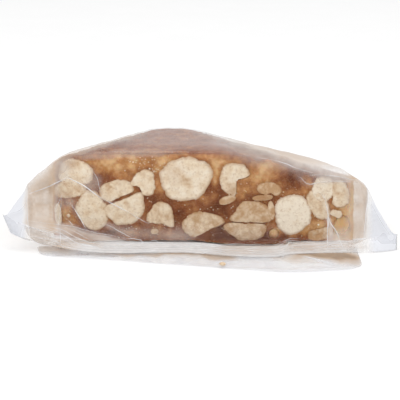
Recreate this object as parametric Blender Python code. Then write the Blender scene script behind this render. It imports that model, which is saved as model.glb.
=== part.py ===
"""A triangular piece of peanut brittle sealed in a clear flow-wrap bag, modelled as the bag's outer form.

The long cut side of the brittle faces -Y and stands on the table. The film is drawn tight over its top
to the rear corner, comes down in front of the cut side and ends in a crimped seal that is wider than
the piece, so its two ends stand out as dog-ears. Slack film from the underside lies in front as a lip.
Metres, +Z up, with the foot of the cut side at Y = 0 before the whole is centred over the origin.
"""

import math

import bmesh
import bpy
from mathutils import Matrix, Vector

# The piece of brittle inside
CUT_LENGTH = 0.0770  # of the cut side's top edge, along X
CUT_HEIGHT = 0.0253  # of the cut side at its highest
LEFT_HEIGHT = 0.0250  # of the cut side at its left end
RIGHT_HEIGHT = 0.0222  # of the cut side at its right end
REAR_CORNER_X = -0.0078
REAR_CORNER_Y = 0.0330
REAR_CORNER_HEIGHT = 0.0262

# The film around it
SIDE_BULGE = 0.0078  # how far the film's side folds stand out past the cut side's ends
FOLD_HEIGHT = 0.0170  # of the upper of the two folds on each side
SEAL_LENGTH = 0.1062  # the film tube laid flat
SEAL_WIDTH = 0.0063
SEAL_THICKNESS = 0.0006
CRIMPS = 4
CRIMP_HEIGHT = 0.0002
REAR_SEAL_LENGTH = 0.0980
REAR_SEAL_Y = 0.0440

# Where the front seal starts: its middle lies low and forward, its ends stand up as dog-ears
SEAL_MIDDLE_Y = -0.0100
SEAL_MIDDLE_HEIGHT = 0.0019
EAR_Y = -0.0045
LEFT_EAR_HEIGHT = 0.0091
RIGHT_EAR_HEIGHT = 0.0037
EAR_RISE = 3.5  # the power by which the seal rises towards its ends

# Where the film leaves the cut side to turn towards the seal
LOW_FRONT_Y = -0.0022
LOW_FRONT_HEIGHT = 0.0070

# The lip of slack film on the table: its corners, each with the radius of its arc
LIP_THICKNESS = 0.0010
LIP_EDGE = 0.0004  # how far its top and underside stop short of its rounded edge
LIP_OUTLINE = (
    ((0.0418, -0.0020), 0.0010),
    ((0.0424, -0.0262), 0.0060),
    ((0.0235, -0.0302), 0.0300),
    ((-0.0300, -0.0168), 0.0200),
    ((-0.0432, -0.0150), 0.0070),
    ((-0.0448, -0.0020), 0.0010),
)

# The mesh
STEPS_AROUND = 4  # between two guide lines of the film
STEPS_ALONG = 6  # between two sections
SOFTENING = 2  # passes that round the folds where the film bends over the brittle
SHARES = (-0.87, -0.72, -0.40, 0.15, 0.70, 0.86)  # where the guide lines meet a seal

FILM_COLOUR = (0.80, 0.68, 0.56, 1.0)


def flat_section(point_at, thickness=SEAL_THICKNESS):
    """A ring of guide points round a flattened tube whose line across is point_at(share), -1 to 1."""
    up = Vector((0.0, 0.0, thickness / 2.0))
    top = [point_at(share) + up for share in SHARES]
    bottom = [point_at(share) - up for share in reversed(SHARES)]
    return [point_at(-1.0), *top, point_at(1.0), *bottom]


def rear_seal_line(y):
    """The rear seal's line across at one Y, flat on the table."""

    def point_at(share):
        return Vector((share * REAR_SEAL_LENGTH / 2.0, y, SEAL_THICKNESS / 2.0))

    return point_at


def front_seal_line(across):
    """The front seal's line, across being 0 where the film tube is first pressed flat and 1 at its cut edge."""
    middle_fall = Vector((0.0, -0.98, -0.19)) * SEAL_WIDTH
    left_fall = Vector((0.40, -0.35, -0.83)) * SEAL_WIDTH * 0.9
    right_fall = Vector((-0.08, -0.60, -0.72)) * SEAL_WIDTH * 0.8

    def point_at(share):
        rise = abs(share) ** EAR_RISE
        ear_height = LEFT_EAR_HEIGHT if share < 0.0 else RIGHT_EAR_HEIGHT
        start = Vector(
            (
                share * SEAL_LENGTH / 2.0,
                SEAL_MIDDLE_Y + (EAR_Y - SEAL_MIDDLE_Y) * rise,
                SEAL_MIDDLE_HEIGHT + (ear_height - SEAL_MIDDLE_HEIGHT) * rise,
            )
        )
        fall = middle_fall.lerp(left_fall if share < 0.0 else right_fall, rise)
        return start + fall * across

    return point_at


def section(top, bottom, left, right):
    """A ring of guide points: the left fold, six on top, the right fold and six underneath."""
    return [Vector(p) for p in (left, *top, right, *reversed(bottom))]


def rear_corner_section():
    """The film where it passes over the rear corner and slopes to the table at both sides."""
    x, y, z = REAR_CORNER_X, REAR_CORNER_Y, REAR_CORNER_HEIGHT
    half = CUT_LENGTH / 2.0 + SIDE_BULGE + 0.001
    top = (
        (-half, y - 0.002, 0.0040),
        (x - 0.0040, y - 0.0010, z - 0.0007),
        (x - 0.0015, y, z),
        (x + 0.0012, y, z),
        (x + 0.0040, y - 0.0010, z - 0.0007),
        (half - 0.001, y - 0.002, 0.0040),
    )
    bottom = underside(half, y - 0.002, y)
    return section(top, bottom, (-half - 0.0006, y, 0.0018), (half - 0.0004, y, 0.0018))


def underside(half, side_y, middle_y, side_height=0.0008):
    """Six guide points on the table, from left to right."""
    return (
        (-half, side_y, side_height),
        (-half + 0.0040, side_y, 0.0),
        (-half * 0.45, middle_y, 0.0),
        (half * 0.20, middle_y, 0.0),
        (half - 0.0050, side_y, 0.0),
        (half - 0.0010, side_y, side_height),
    )


def cut_side_section():
    """The film where it bends over the top edge of the cut side."""
    end = CUT_LENGTH / 2.0
    half = end + SIDE_BULGE
    top = (
        (-half, 0.0, FOLD_HEIGHT + 0.0004),
        (-end, 0.0, LEFT_HEIGHT),
        (-end * 0.72, 0.0, CUT_HEIGHT),
        (end * 0.20, 0.0, CUT_HEIGHT - 0.0002),
        (end - 0.0010, 0.0006, RIGHT_HEIGHT),
        (half - 0.0020, 0.0006, FOLD_HEIGHT - 0.0002),
    )
    bottom = underside(half, 0.0, 0.0, side_height=0.0016)
    return section(top, bottom, (-half - 0.0004, 0.0, 0.0165), (half - 0.0010, 0.0, 0.0150))


def low_front_section():
    """The film low on the cut side, where it leaves the brittle and turns towards the seal."""
    end = CUT_LENGTH / 2.0
    half = end + SIDE_BULGE
    top = (
        (-half, -0.0032, 0.0120),
        (-end - 0.0005, -0.0030, 0.0100),
        (-end * 0.66, LOW_FRONT_Y, LOW_FRONT_HEIGHT + 0.0005),
        (end * 0.20, LOW_FRONT_Y, LOW_FRONT_HEIGHT),
        (end, -0.0030, 0.0080),
        (half - 0.0015, -0.0035, 0.0100),
    )
    bottom = underside(half, -0.0040, -0.0060, side_height=0.0024)
    return section(top, bottom, (-half - 0.0036, -0.0020, 0.0124), (half + 0.0030, -0.0028, 0.0090))


def steps_between(a, b, count):
    """Rings from a up to but not including b."""
    return [[p.lerp(q, step / count) for p, q in zip(a, b)] for step in range(count)]


def refined(ring):
    """The ring with its straight stretches split into short steps."""
    points = []
    for here, there in zip(ring, ring[1:] + ring[:1]):
        points += [here.lerp(there, step / STEPS_AROUND) for step in range(STEPS_AROUND)]
    return points


def crimped(line_at, first, last):
    """The rings of one seal, with ridges along it."""
    rings = []
    rows = 2 * CRIMPS
    for row in range(rows + 1):
        place = first + (last - first) * row / rows
        height = CRIMP_HEIGHT if row % 2 else 0.0
        ring = flat_section(line_at(place))
        rings.append([p + Vector((0.0, 0.0, height)) for p in ring])
    return rings


def softened(rings, fixed):
    """The rings with their folds rounded, apart from the first and last fixed rings."""
    for _ in range(SOFTENING):
        after = [list(ring) for ring in rings]
        for i in range(fixed, len(rings) - fixed):
            ring = rings[i]
            count = len(ring)
            for j, point in enumerate(ring):
                around = ring[j - 1] + ring[(j + 1) % count]
                along = rings[i - 1][j] + rings[i + 1][j]
                after[i][j] = point * 0.5 + (around + along) * 0.125
        rings = after
    return rings


def mesh_object(name, points, faces, collection, material):
    """A new object from points and faces, with its faces turned outwards."""
    mesh = bpy.data.meshes.new(name)
    mesh.from_pydata([tuple(p) for p in points], [], faces)
    work = bmesh.new()
    work.from_mesh(mesh)
    bmesh.ops.recalc_face_normals(work, faces=work.faces)
    work.to_mesh(mesh)
    work.free()
    mesh.materials.append(material)
    obj = bpy.data.objects.new(name, mesh)
    collection.objects.link(obj)
    return obj


def tube_faces(rings):
    """Quads between neighbouring rings, and a strip that closes each flattened end."""
    count = len(rings[0])
    faces = []
    for i in range(len(rings) - 1):
        for j in range(count):
            k = (j + 1) % count
            faces.append((i * count + j, i * count + k, (i + 1) * count + k, (i + 1) * count + j))
    for start in (0, (len(rings) - 1) * count):
        half = count // 2
        for j in range(half):
            corners = (start + j, start + j + 1, start + (count - j - 1) % count, start + (count - j) % count)
            faces.append(tuple(dict.fromkeys(corners)))
    return faces


def film_tube(collection, material):
    """The bag from its rear seal, over the brittle, to its front seal."""
    rear = crimped(rear_seal_line, REAR_SEAL_Y + SEAL_WIDTH, REAR_SEAL_Y)
    front = crimped(front_seal_line, 0.0, 1.0)
    middle = [rear[-1], rear_corner_section(), cut_side_section(), low_front_section(), front[0]]
    body = []
    for a, b in zip(middle, middle[1:]):
        body += steps_between(a, b, STEPS_ALONG)
    rings = softened([refined(ring) for ring in rear[:-1] + body + front], fixed=len(rear))
    points = [p for ring in rings for p in ring]
    return mesh_object("film_tube", points, tube_faces(rings), collection, material)


def rounded(outline, steps=5):
    """A closed outline of corners and radii, with an arc at each corner."""
    points = []
    for i, (corner, radius) in enumerate(outline):
        here = Vector(corner)
        before = (Vector(outline[i - 1][0]) - here).normalized()
        after = (Vector(outline[(i + 1) % len(outline)][0]) - here).normalized()
        half_angle = before.angle(after) / 2.0
        reach = radius / math.tan(half_angle)
        centre = here + (before + after).normalized() * (radius / math.sin(half_angle))
        start, end = here + before * reach, here + after * reach
        for step in range(steps + 1):
            spoke = (start - centre).lerp(end - centre, step / steps).normalized()
            points.append(centre + spoke * radius)
    return points


def slack_lip(collection, material):
    """The lip of film on the table in front of the seal, with a rounded edge."""
    outline = rounded(LIP_OUTLINE)
    count = len(outline)
    middle = sum(outline, Vector((0.0, 0.0))) / count
    inner = [p + (middle - p).normalized() * LIP_EDGE for p in outline]
    levels = ((inner, 0.0), (outline, LIP_THICKNESS / 2.0), (inner, LIP_THICKNESS))
    points = [(p.x, p.y, height) for line, height in levels for p in line]
    faces = [tuple(range(count)), tuple(range(2 * count, 3 * count))]
    for level in (0, count):
        for i in range(count):
            k = (i + 1) % count
            faces.append((level + i, level + k, level + count + k, level + count + i))
    return mesh_object("slack_lip", points, faces, collection, material)


def joined(base, others):
    """base with the other solids joined to it, as one solid."""
    extras = bpy.data.collections.new("to_join")
    for obj in others:
        extras.objects.link(obj)
    union = base.modifiers.new("join", "BOOLEAN")
    union.operation = "UNION"
    union.solver = "EXACT"
    union.operand_type = "COLLECTION"
    union.collection = extras
    bpy.context.view_layer.update()
    mesh = bpy.data.meshes.new_from_object(base.evaluated_get(bpy.context.evaluated_depsgraph_get()))
    base.modifiers.clear()
    base.data = mesh
    for obj in others:
        bpy.data.objects.remove(obj)
    bpy.data.collections.remove(extras)
    return base


def film_material():
    """Clear film over toffee-brown brittle, in the colour that the two show together."""
    material = bpy.data.materials.new("film")
    material.use_nodes = True
    shader = material.node_tree.nodes["Principled BSDF"]
    shader.inputs["Base Color"].default_value = FILM_COLOUR
    shader.inputs["Roughness"].default_value = 0.2
    shader.inputs["Metallic"].default_value = 0.0
    return material


def build():
    """Makes the whole part."""
    for obj in list(bpy.data.objects):
        bpy.data.objects.remove(obj)
    collection = bpy.data.collections.new("peanut_brittle")
    bpy.context.scene.collection.children.link(collection)
    material = film_material()
    bag = film_tube(collection, material)
    joined(bag, [slack_lip(collection, material)])
    bag.name = "sealed_bag"
    bag.data.name = "sealed_bag"
    low = [min(v.co[axis] for v in bag.data.vertices) for axis in range(3)]
    high = [max(v.co[axis] for v in bag.data.vertices) for axis in range(3)]
    shift = Vector((-(low[0] + high[0]) / 2.0, -(low[1] + high[1]) / 2.0, -low[2]))
    bag.data.transform(Matrix.Translation(shift))
    bag.data.shade_smooth()
    bag.data.set_sharp_from_angle(angle=math.radians(35.0))


build()
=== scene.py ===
"""Dresses the peanut brittle: a cut, nutty piece of caramel sealed in a clear flow-wrap film.

Sizes are in millimetres in the brittle's own frame, with the foot of the cut side at Y = 0 and +Z up.
BrittleFrame turns them into the row frame's metres, into each piece's mesh.
"""

import logging
import math
import random
from dataclasses import dataclass, field
from enum import Enum
from typing import Callable, Sequence

import bmesh
import bpy
import numpy as np
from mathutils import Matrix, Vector, noise
from mathutils.bvhtree import BVHTree


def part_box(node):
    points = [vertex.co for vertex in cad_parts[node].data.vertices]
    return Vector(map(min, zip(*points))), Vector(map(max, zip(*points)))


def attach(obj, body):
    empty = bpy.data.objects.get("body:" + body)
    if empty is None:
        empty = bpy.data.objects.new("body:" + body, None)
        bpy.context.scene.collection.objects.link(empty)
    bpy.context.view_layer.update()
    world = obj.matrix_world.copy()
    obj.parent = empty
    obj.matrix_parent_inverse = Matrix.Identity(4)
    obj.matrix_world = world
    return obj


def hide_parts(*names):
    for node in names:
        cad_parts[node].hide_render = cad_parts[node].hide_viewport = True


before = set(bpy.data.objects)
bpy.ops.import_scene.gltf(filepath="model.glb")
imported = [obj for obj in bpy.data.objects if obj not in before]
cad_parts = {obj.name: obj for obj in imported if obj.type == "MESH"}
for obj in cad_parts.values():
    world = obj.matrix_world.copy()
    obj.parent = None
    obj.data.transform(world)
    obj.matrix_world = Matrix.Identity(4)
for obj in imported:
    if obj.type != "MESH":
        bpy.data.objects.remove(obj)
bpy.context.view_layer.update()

Array = np.ndarray
Material = bpy.types.Material
Mesh = bpy.types.Mesh
Node = bpy.types.Node
Piece = bpy.types.Object
Socket = bpy.types.NodeSocket
Tree = bpy.types.NodeTree
Value = Socket | float
Pair = tuple[float, float]
Triple = tuple[float, float, float]
Colour = Triple
Mark = tuple[float, float, float, float]

LOG = logging.getLogger("peanut_brittle")

MM = 0.001
BODY = "root"
BAG_NODE = "sealed_bag"
REAR_EDGE_FROM_FOOT = 50.3  # from the foot of the cut side to the bag's rear edge
BUMP_DISTANCE = 0.0004  # depth of the finishes' bumps, in metres


# ---------------------------------------------------------------- frame and meshes


@dataclass(frozen=True)
class BrittleFrame:
    """The brittle's own frame in the row frame.

    Args:
        foot_y: Y of the cut side's foot in the row frame, in metres.
    """

    foot_y: float

    @classmethod
    def from_bag(cls) -> "BrittleFrame":
        """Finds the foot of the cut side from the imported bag."""
        _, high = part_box(BAG_NODE)
        return cls(foot_y=high.y - REAR_EDGE_FROM_FOOT * MM)

    def placed(self, points: Array) -> Array:
        """Turns points in millimetres into the row frame's metres."""
        return np.asarray(points, float) * MM + np.array((0.0, self.foot_y, 0.0))

    def own(self, points: Array) -> Array:
        """Turns points of the row frame back into millimetres of the brittle's frame."""
        return (np.asarray(points, float) - np.array((0.0, self.foot_y, 0.0))) / MM


def linked(name: str, data: bpy.types.ID) -> Piece:
    """Makes an object of a mesh, a lamp or a camera, and links it to the scene."""
    made = bpy.data.objects.new(name, data)
    bpy.context.scene.collection.objects.link(made)
    return made


def carry(mesh: Mesh, **values: Array) -> None:
    """Gives each point of a mesh its numbers, by attribute name."""
    for key, numbers in values.items():
        layer = mesh.attributes.new(key, "FLOAT", "POINT")
        layer.data.foreach_set("value", np.asarray(numbers, np.float32))


def mesh_piece(
    name: str,
    points: Array,
    faces: Sequence[Sequence[int]],
    material: Material,
    **values: Array,
) -> Piece:
    """Makes a smooth-shaded mesh object at the origin.

    Args:
        name: The piece's name.
        points: Its points in metres, in the row frame.
        faces: Its faces as lists of point numbers.
        material: Its finish.
        **values: Numbers for each point, by attribute name.

    Returns:
        The new object, linked to the scene.
    """
    mesh = bpy.data.meshes.new(name)
    mesh.from_pydata(points.tolist(), [], faces)
    mesh.materials.append(material)
    carry(mesh, **values)
    mesh.validate()
    mesh.shade_smooth()
    return linked(name, mesh)


def turned_outwards(piece: Piece) -> None:
    """Turns the faces of a closed mesh outwards."""
    work = bmesh.new()
    work.from_mesh(piece.data)
    bmesh.ops.recalc_face_normals(work, faces=work.faces)
    work.to_mesh(piece.data)
    work.free()


def points_of(mesh: Mesh, kind: str = "co") -> Array:
    """Returns a mesh's points as an array, or its point normals with kind "normal"."""
    numbers = np.empty(len(mesh.vertices) * 3)
    mesh.vertices.foreach_get(kind, numbers)
    return numbers.reshape(-1, 3)


def surface_of(mesh: Mesh) -> BVHTree:
    """Returns a mesh's surface for finding places on it, with its faces turned as the mesh has them."""
    return BVHTree.FromPolygons(points_of(mesh).tolist(), [tuple(face.vertices) for face in mesh.polygons])


def evaluated_mesh(piece: Piece) -> Mesh:
    """Returns a plain mesh of a piece with its modifiers, and removes them."""
    graph = bpy.context.evaluated_depsgraph_get()
    mesh = bpy.data.meshes.new_from_object(piece.evaluated_get(graph))
    piece.modifiers.clear()
    return mesh


def band(first: int, second: int, count: int) -> list[tuple[int, ...]]:
    """Returns the quads between two closed rings of points, given by each ring's first point."""
    return [(first + j, second + j, second + (j + 1) % count, first + (j + 1) % count) for j in range(count)]


def rising(values: Array, start: float, width: float) -> Array:
    """Returns 0 up to a start, rising to 1 over a width. A negative width makes it fall to 0 there."""
    return np.clip((values - start) / width, 0.0, 1.0)


def bell(values: Array, width: float, middle: float = 0.0) -> Array:
    """Returns 1 at a middle, falling softly to 0 over a width on both sides."""
    return np.exp(-(((values - middle) / width) ** 2))


def roughness_at(points: Array, size: float, seed: float, octaves: int = 3) -> Array:
    """Smooth random values, about -1 to 1, at points.

    Args:
        points: Points in millimetres.
        size: Size of the largest lumps in millimetres.
        seed: An offset that picks the pattern.
        octaves: How many finer layers are added.

    Returns:
        One value for each point.
    """
    offset = Vector((seed * 17.3, seed * 5.1, seed * 9.7))
    return np.array([noise.fractal(Vector(p) / size + offset, 0.8, 2.0, octaves) for p in points])


def dressed(piece: Piece) -> Piece:
    """Makes a piece ride on the body and logs its name and size."""
    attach(piece, BODY)
    LOG.info("%s: %d points, %d faces", piece.name, len(piece.data.vertices), len(piece.data.polygons))
    return piece


# ---------------------------------------------------------------- shader helpers


class NodeBoard:
    """A material's or a group's node tree, with short ways to add and join nodes."""

    def __init__(self, tree: Tree) -> None:
        """Takes the tree to work on."""
        self.tree = tree

    def add(self, kind: str, inputs: dict[int | str, object] | None = None, **settings: object) -> Node:
        """Adds a node.

        Args:
            kind: The node's type name.
            inputs: A socket or a plain value for each input, by name or number.
            **settings: Its properties by name.

        Returns:
            The new node.
        """
        node = self.tree.nodes.new(kind)
        for key, value in settings.items():
            setattr(node, key, value)
        for key, value in (inputs or {}).items():
            if isinstance(value, Socket):
                self.tree.links.new(value, node.inputs[key])
            else:
                node.inputs[key].default_value = value
        return node

    def maths(self, operation: str, first: Value, second: Value, clamp: bool = False) -> Socket:
        """Adds a Math node and returns its output, kept between 0 and 1 if clamp is true."""
        node = self.add("ShaderNodeMath", {0: first, 1: second}, operation=operation, use_clamp=clamp)
        return node.outputs[0]

    def blend(self, share: Value, first: Socket, second: Colour) -> Socket:
        """Mixes a share of a second colour into a first one."""
        inputs = {0: share, 6: first, 7: (*second, 1.0)}
        return self.add("ShaderNodeMix", inputs, data_type="RGBA", clamp_factor=True).outputs[2]

    def mixed(self, share: Value, first: Node, second: Node) -> Node:
        """Mixes a share of a second shader into a first one."""
        return self.add("ShaderNodeMixShader", {0: share, 1: first.outputs[0], 2: second.outputs[0]})

    def value(self, name: str) -> Socket:
        """Reads a number that each point of the mesh carries."""
        return self.add("ShaderNodeAttribute", attribute_name=name).outputs["Fac"]

    def place(self) -> Socket:
        """Reads the place on the object, in metres."""
        return self.add("ShaderNodeTexCoord").outputs["Object"]

    def pattern(self, scale: float, **inputs: float) -> Socket:
        """Adds a noise pattern over the object."""
        return self.add("ShaderNodeTexNoise", {"Vector": self.place(), "Scale": scale, **inputs}).outputs[0]

    def bump(self, height: Socket, strength: float) -> Socket:
        """Turns a pattern into a bumped normal."""
        inputs = {"Strength": strength, "Distance": BUMP_DISTANCE, "Height": height}
        return self.add("ShaderNodeBump", inputs).outputs[0]

    def ramp(self, share: Socket, stops: Sequence[tuple[float, Colour]]) -> Socket:
        """Picks a colour between stops, given as positions and linear colours, lowest first."""
        node = self.add("ShaderNodeValToRGB", {0: share})
        elements = node.color_ramp.elements
        while len(elements) < len(stops):
            elements.new(0.5)
        for element, (position, colour) in zip(elements, stops):
            element.position = position
            element.color = (*colour, 1.0)
        return node.outputs[0]

    def swung(self, name: str, pattern: Socket, reach: float) -> Socket:
        """Swings the number that each point carries up and down with a pattern."""
        swing = self.maths("MULTIPLY", self.maths("SUBTRACT", pattern, 0.5), reach)
        return self.maths("ADD", self.value(name), swing, clamp=True)

    def coat(self, inputs: dict[str, object]) -> None:
        """Adds a Principled shader as the material's surface."""
        shader = self.add("ShaderNodeBsdfPrincipled", inputs)
        self.add("ShaderNodeOutputMaterial", {"Surface": shader.outputs[0]})


def mottle_group() -> Tree:
    """Builds the shader group that gives lumps, speckles and a bump height to food surfaces.

    Returns:
        The group, with inputs Vector, Lump Scale and Speck Scale and outputs Lumps, Specks and Height.
    """
    name = "food_mottle"
    if name in bpy.data.node_groups:
        return bpy.data.node_groups[name]
    group = bpy.data.node_groups.new(name, "ShaderNodeTree")
    group.interface.new_socket("Vector", in_out="INPUT", socket_type="NodeSocketVector")
    for key in ("Lump Scale", "Speck Scale"):
        group.interface.new_socket(key, in_out="INPUT", socket_type="NodeSocketFloat")
    for key in ("Lumps", "Specks", "Height"):
        group.interface.new_socket(key, in_out="OUTPUT", socket_type="NodeSocketFloat")
    board = NodeBoard(group)
    source = board.add("NodeGroupInput").outputs
    patterns = []
    for key, detail, roughness in (("Lump Scale", 4.0, 0.6), ("Speck Scale", 3.0, 0.7)):
        inputs = {"Vector": source["Vector"], "Scale": source[key], "Detail": detail, "Roughness": roughness}
        patterns.append(board.add("ShaderNodeTexNoise", inputs).outputs[0])
    lumps, specks = patterns
    outputs = {
        "Lumps": board.maths("MULTIPLY", board.maths("SUBTRACT", lumps, 0.35), 3.3, clamp=True),
        "Specks": board.maths("MULTIPLY", board.maths("SUBTRACT", specks, 0.52), 6.0, clamp=True),
        "Height": board.maths("ADD", lumps, board.maths("MULTIPLY", specks, 0.5)),
    }
    board.add("NodeGroupOutput", outputs)
    return group


def new_material(name: str) -> tuple[Material, NodeBoard]:
    """Makes a material with an empty node tree, and the board for its nodes."""
    material = bpy.data.materials.new(name)
    material.use_nodes = True
    material.node_tree.nodes.clear()
    return material, NodeBoard(material.node_tree)


# ---------------------------------------------------------------- finishes


@dataclass(frozen=True)
class FoodFinish:
    """A finish with lumps and specks.

    Args:
        lump_scale: How fine its lumps are.
        speck_scale: How fine its specks are.
        swing: How far its lumps swing its colour.
        speck_share: How strongly its specks show.
        relief: Strength of its bump.
    """

    lump_scale: float
    speck_scale: float
    swing: float
    speck_share: float
    relief: float

    def mottled(self, board: NodeBoard) -> Node:
        """Adds the mottle group over the object."""
        inputs = {"Vector": board.place(), "Lump Scale": self.lump_scale, "Speck Scale": self.speck_scale}
        return board.add("ShaderNodeGroup", inputs, node_tree=mottle_group())


@dataclass(frozen=True)
class CaramelFinish(FoodFinish):
    """Hard amber caramel, darker where it is thick, with painted golden light where light comes through and
    painted shade in hollows, round kernels and at its foot.

    Args:
        dark: Linear colour of the thick, deep caramel, and of its painted shade.
        middle: Linear colour of most of it.
        amber: Linear colour where it is thin.
        gold: Linear colour of the thinnest places, where light is painted coming through.
        scatter: How far red, green and blue light spread in it.
    """

    lump_scale: float = 420.0
    speck_scale: float = 2400.0
    swing: float = 0.34
    speck_share: float = 0.22
    relief: float = 0.35
    dark: Colour = (0.155, 0.040, 0.012)
    middle: Colour = (0.275, 0.092, 0.032)
    amber: Colour = (0.510, 0.240, 0.092)
    gold: Colour = (0.740, 0.480, 0.245)
    scatter: Colour = (1.0, 0.35, 0.12)

    def build(self) -> Material:
        """Builds the material."""
        material, board = new_material("caramel")
        mottle = self.mottled(board).outputs
        stops = ((0.05, self.dark), (0.42, self.middle), (0.72, self.amber), (1.0, self.gold))
        colour = board.ramp(board.swung("glow", mottle["Lumps"], self.swing), stops)
        pale = board.maths("MULTIPLY", mottle["Specks"], self.speck_share)
        inputs = {
            "Base Color": board.blend(pale, colour, self.gold),
            "Roughness": board.maths("ADD", board.maths("MULTIPLY", mottle["Specks"], 0.25), 0.24),
            "IOR": 1.5,
            "Specular IOR Level": 0.05,
            "Subsurface Weight": 0.35,
            "Subsurface Radius": self.scatter,
            "Subsurface Scale": 0.0025,
            "Normal": board.bump(mottle["Height"], self.relief),
        }
        board.coat(inputs)
        return material


@dataclass(frozen=True)
class PeanutFinish(FoodFinish):
    """The matte, mealy inside of a roasted peanut that has been cut through.

    Args:
        pale: Linear colour of the palest flesh.
        cream: Linear colour of most of it.
        tan: Linear colour of its browner patches.
        toffee: Linear colour of the rim that touches the caramel.
        fleck: Linear colour of its small brown flecks.
    """

    lump_scale: float = 480.0
    speck_scale: float = 1500.0
    swing: float = 0.55
    speck_share: float = 0.36
    relief: float = 0.8
    pale: Colour = (0.960, 0.850, 0.690)
    cream: Colour = (0.840, 0.680, 0.490)
    tan: Colour = (0.580, 0.355, 0.190)
    toffee: Colour = (0.400, 0.180, 0.060)
    fleck: Colour = (0.420, 0.225, 0.100)

    def build(self) -> Material:
        """Builds the material."""
        material, board = new_material("peanut")
        mottle = self.mottled(board).outputs
        stops = ((0.0, self.tan), (0.5, self.cream), (1.0, self.pale))
        colour = board.ramp(board.swung("tone", mottle["Lumps"], self.swing), stops)
        specks = board.maths("MULTIPLY", mottle["Specks"], self.speck_share)
        colour = board.blend(specks, colour, self.fleck)
        inputs = {
            "Base Color": board.blend(board.value("rim"), colour, self.toffee),
            "Roughness": 0.72,
            "Specular IOR Level": 0.15,
            "Normal": board.bump(mottle["Height"], self.relief),
        }
        board.coat(inputs)
        return material


@dataclass(frozen=True)
class SugarFinish:
    """Pale grains of sugar and crumbs of nut.

    Args:
        white: Linear colour of a clean grain.
        straw: Linear colour of a grain that caramel has stained.
    """

    white: Colour = (0.840, 0.720, 0.560)
    straw: Colour = (0.720, 0.500, 0.290)

    def build(self) -> Material:
        """Builds the material."""
        material, board = new_material("sugar")
        colour = board.ramp(board.pattern(900.0), ((0.35, self.straw), (0.6, self.white)))
        scatter = {"Subsurface Weight": 0.2, "Subsurface Scale": 0.0006}
        board.coat({"Base Color": colour, "Roughness": 0.4, **scatter})
        return material


@dataclass(frozen=True)
class FilmFinish:
    """Clear, thin wrapping film that turns milky where it is crimped, creased or doubled.

    Args:
        name: The material's name.
        milk: Linear colour of the milky places.
        cool: Linear colour of the milky places that touch nothing.
        brittle_light: Linear colour of painted light from the brittle: its brown, reflected in the milky
            places and seen through them.
        shade: Linear colour of painted shadow on the film at the brittle's foot.
        gloss: Roughness of the clear film's shine.
        let_through: Share of the lamps' light that passes the film, milky or not.
        ior: Index of refraction of the milky places.
        shine: Index that sets how much the clear film mirrors.
    """

    name: str = "film"
    milk: Colour = (0.770, 0.755, 0.750)
    cool: Colour = (0.735, 0.745, 0.785)
    brittle_light: Colour = (0.550, 0.410, 0.295)
    shade: Colour = (0.070, 0.028, 0.014)
    gloss: float = 0.10
    let_through: float = 0.78
    ior: float = 1.30
    shine: float = 1.20

    def build(self) -> Material:
        """Builds the material."""
        material, board = new_material(self.name)
        streaks = board.pattern(260.0, Detail=5.0, Roughness=0.65)
        backfacing = board.add("ShaderNodeNewGeometry").outputs["Backfacing"]
        sides = {0: backfacing, 2: self.shine, 3: 1.0 / self.shine}
        index = board.add("ShaderNodeMix", sides, data_type="FLOAT").outputs[0]
        fresnel = board.add("ShaderNodeFresnel", {"IOR": index}).outputs[0]
        clear = board.add("ShaderNodeBsdfTransparent", {"Color": (0.985, 0.985, 0.985, 1.0)})
        mirror = {"Color": (1.0, 1.0, 1.0, 1.0), "Roughness": self.gloss, "Normal": board.bump(streaks, 0.25)}
        film = board.mixed(fresnel, clear, board.add("ShaderNodeBsdfGlossy", mirror))
        # The tint runs from the film's own milk to painted brown light from the brittle, then to painted
        # shadow.
        stops = ((0.0, self.cool), (0.1, self.milk), (0.5, self.brittle_light), (1.0, self.shade))
        tint = board.ramp(board.value("tint"), stops)
        cloudy = {"Base Color": tint, "Roughness": 0.42, "IOR": self.ior}
        milky = board.add("ShaderNodeBsdfPrincipled", cloudy)
        streaked = board.maths("ADD", board.maths("MULTIPLY", streaks, 0.9), 0.55)
        haze = board.maths("MULTIPLY", board.value("haze"), streaked, clamp=True)
        shadow = board.add("ShaderNodeLightPath").outputs["Is Shadow Ray"]
        passing = board.maths("MULTIPLY", shadow, self.let_through)
        lit = board.mixed(passing, board.mixed(haze, film, milky), clear)
        board.add("ShaderNodeOutputMaterial", {"Surface": lit.outputs[0]})
        return material


# ---------------------------------------------------------------- view


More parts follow.
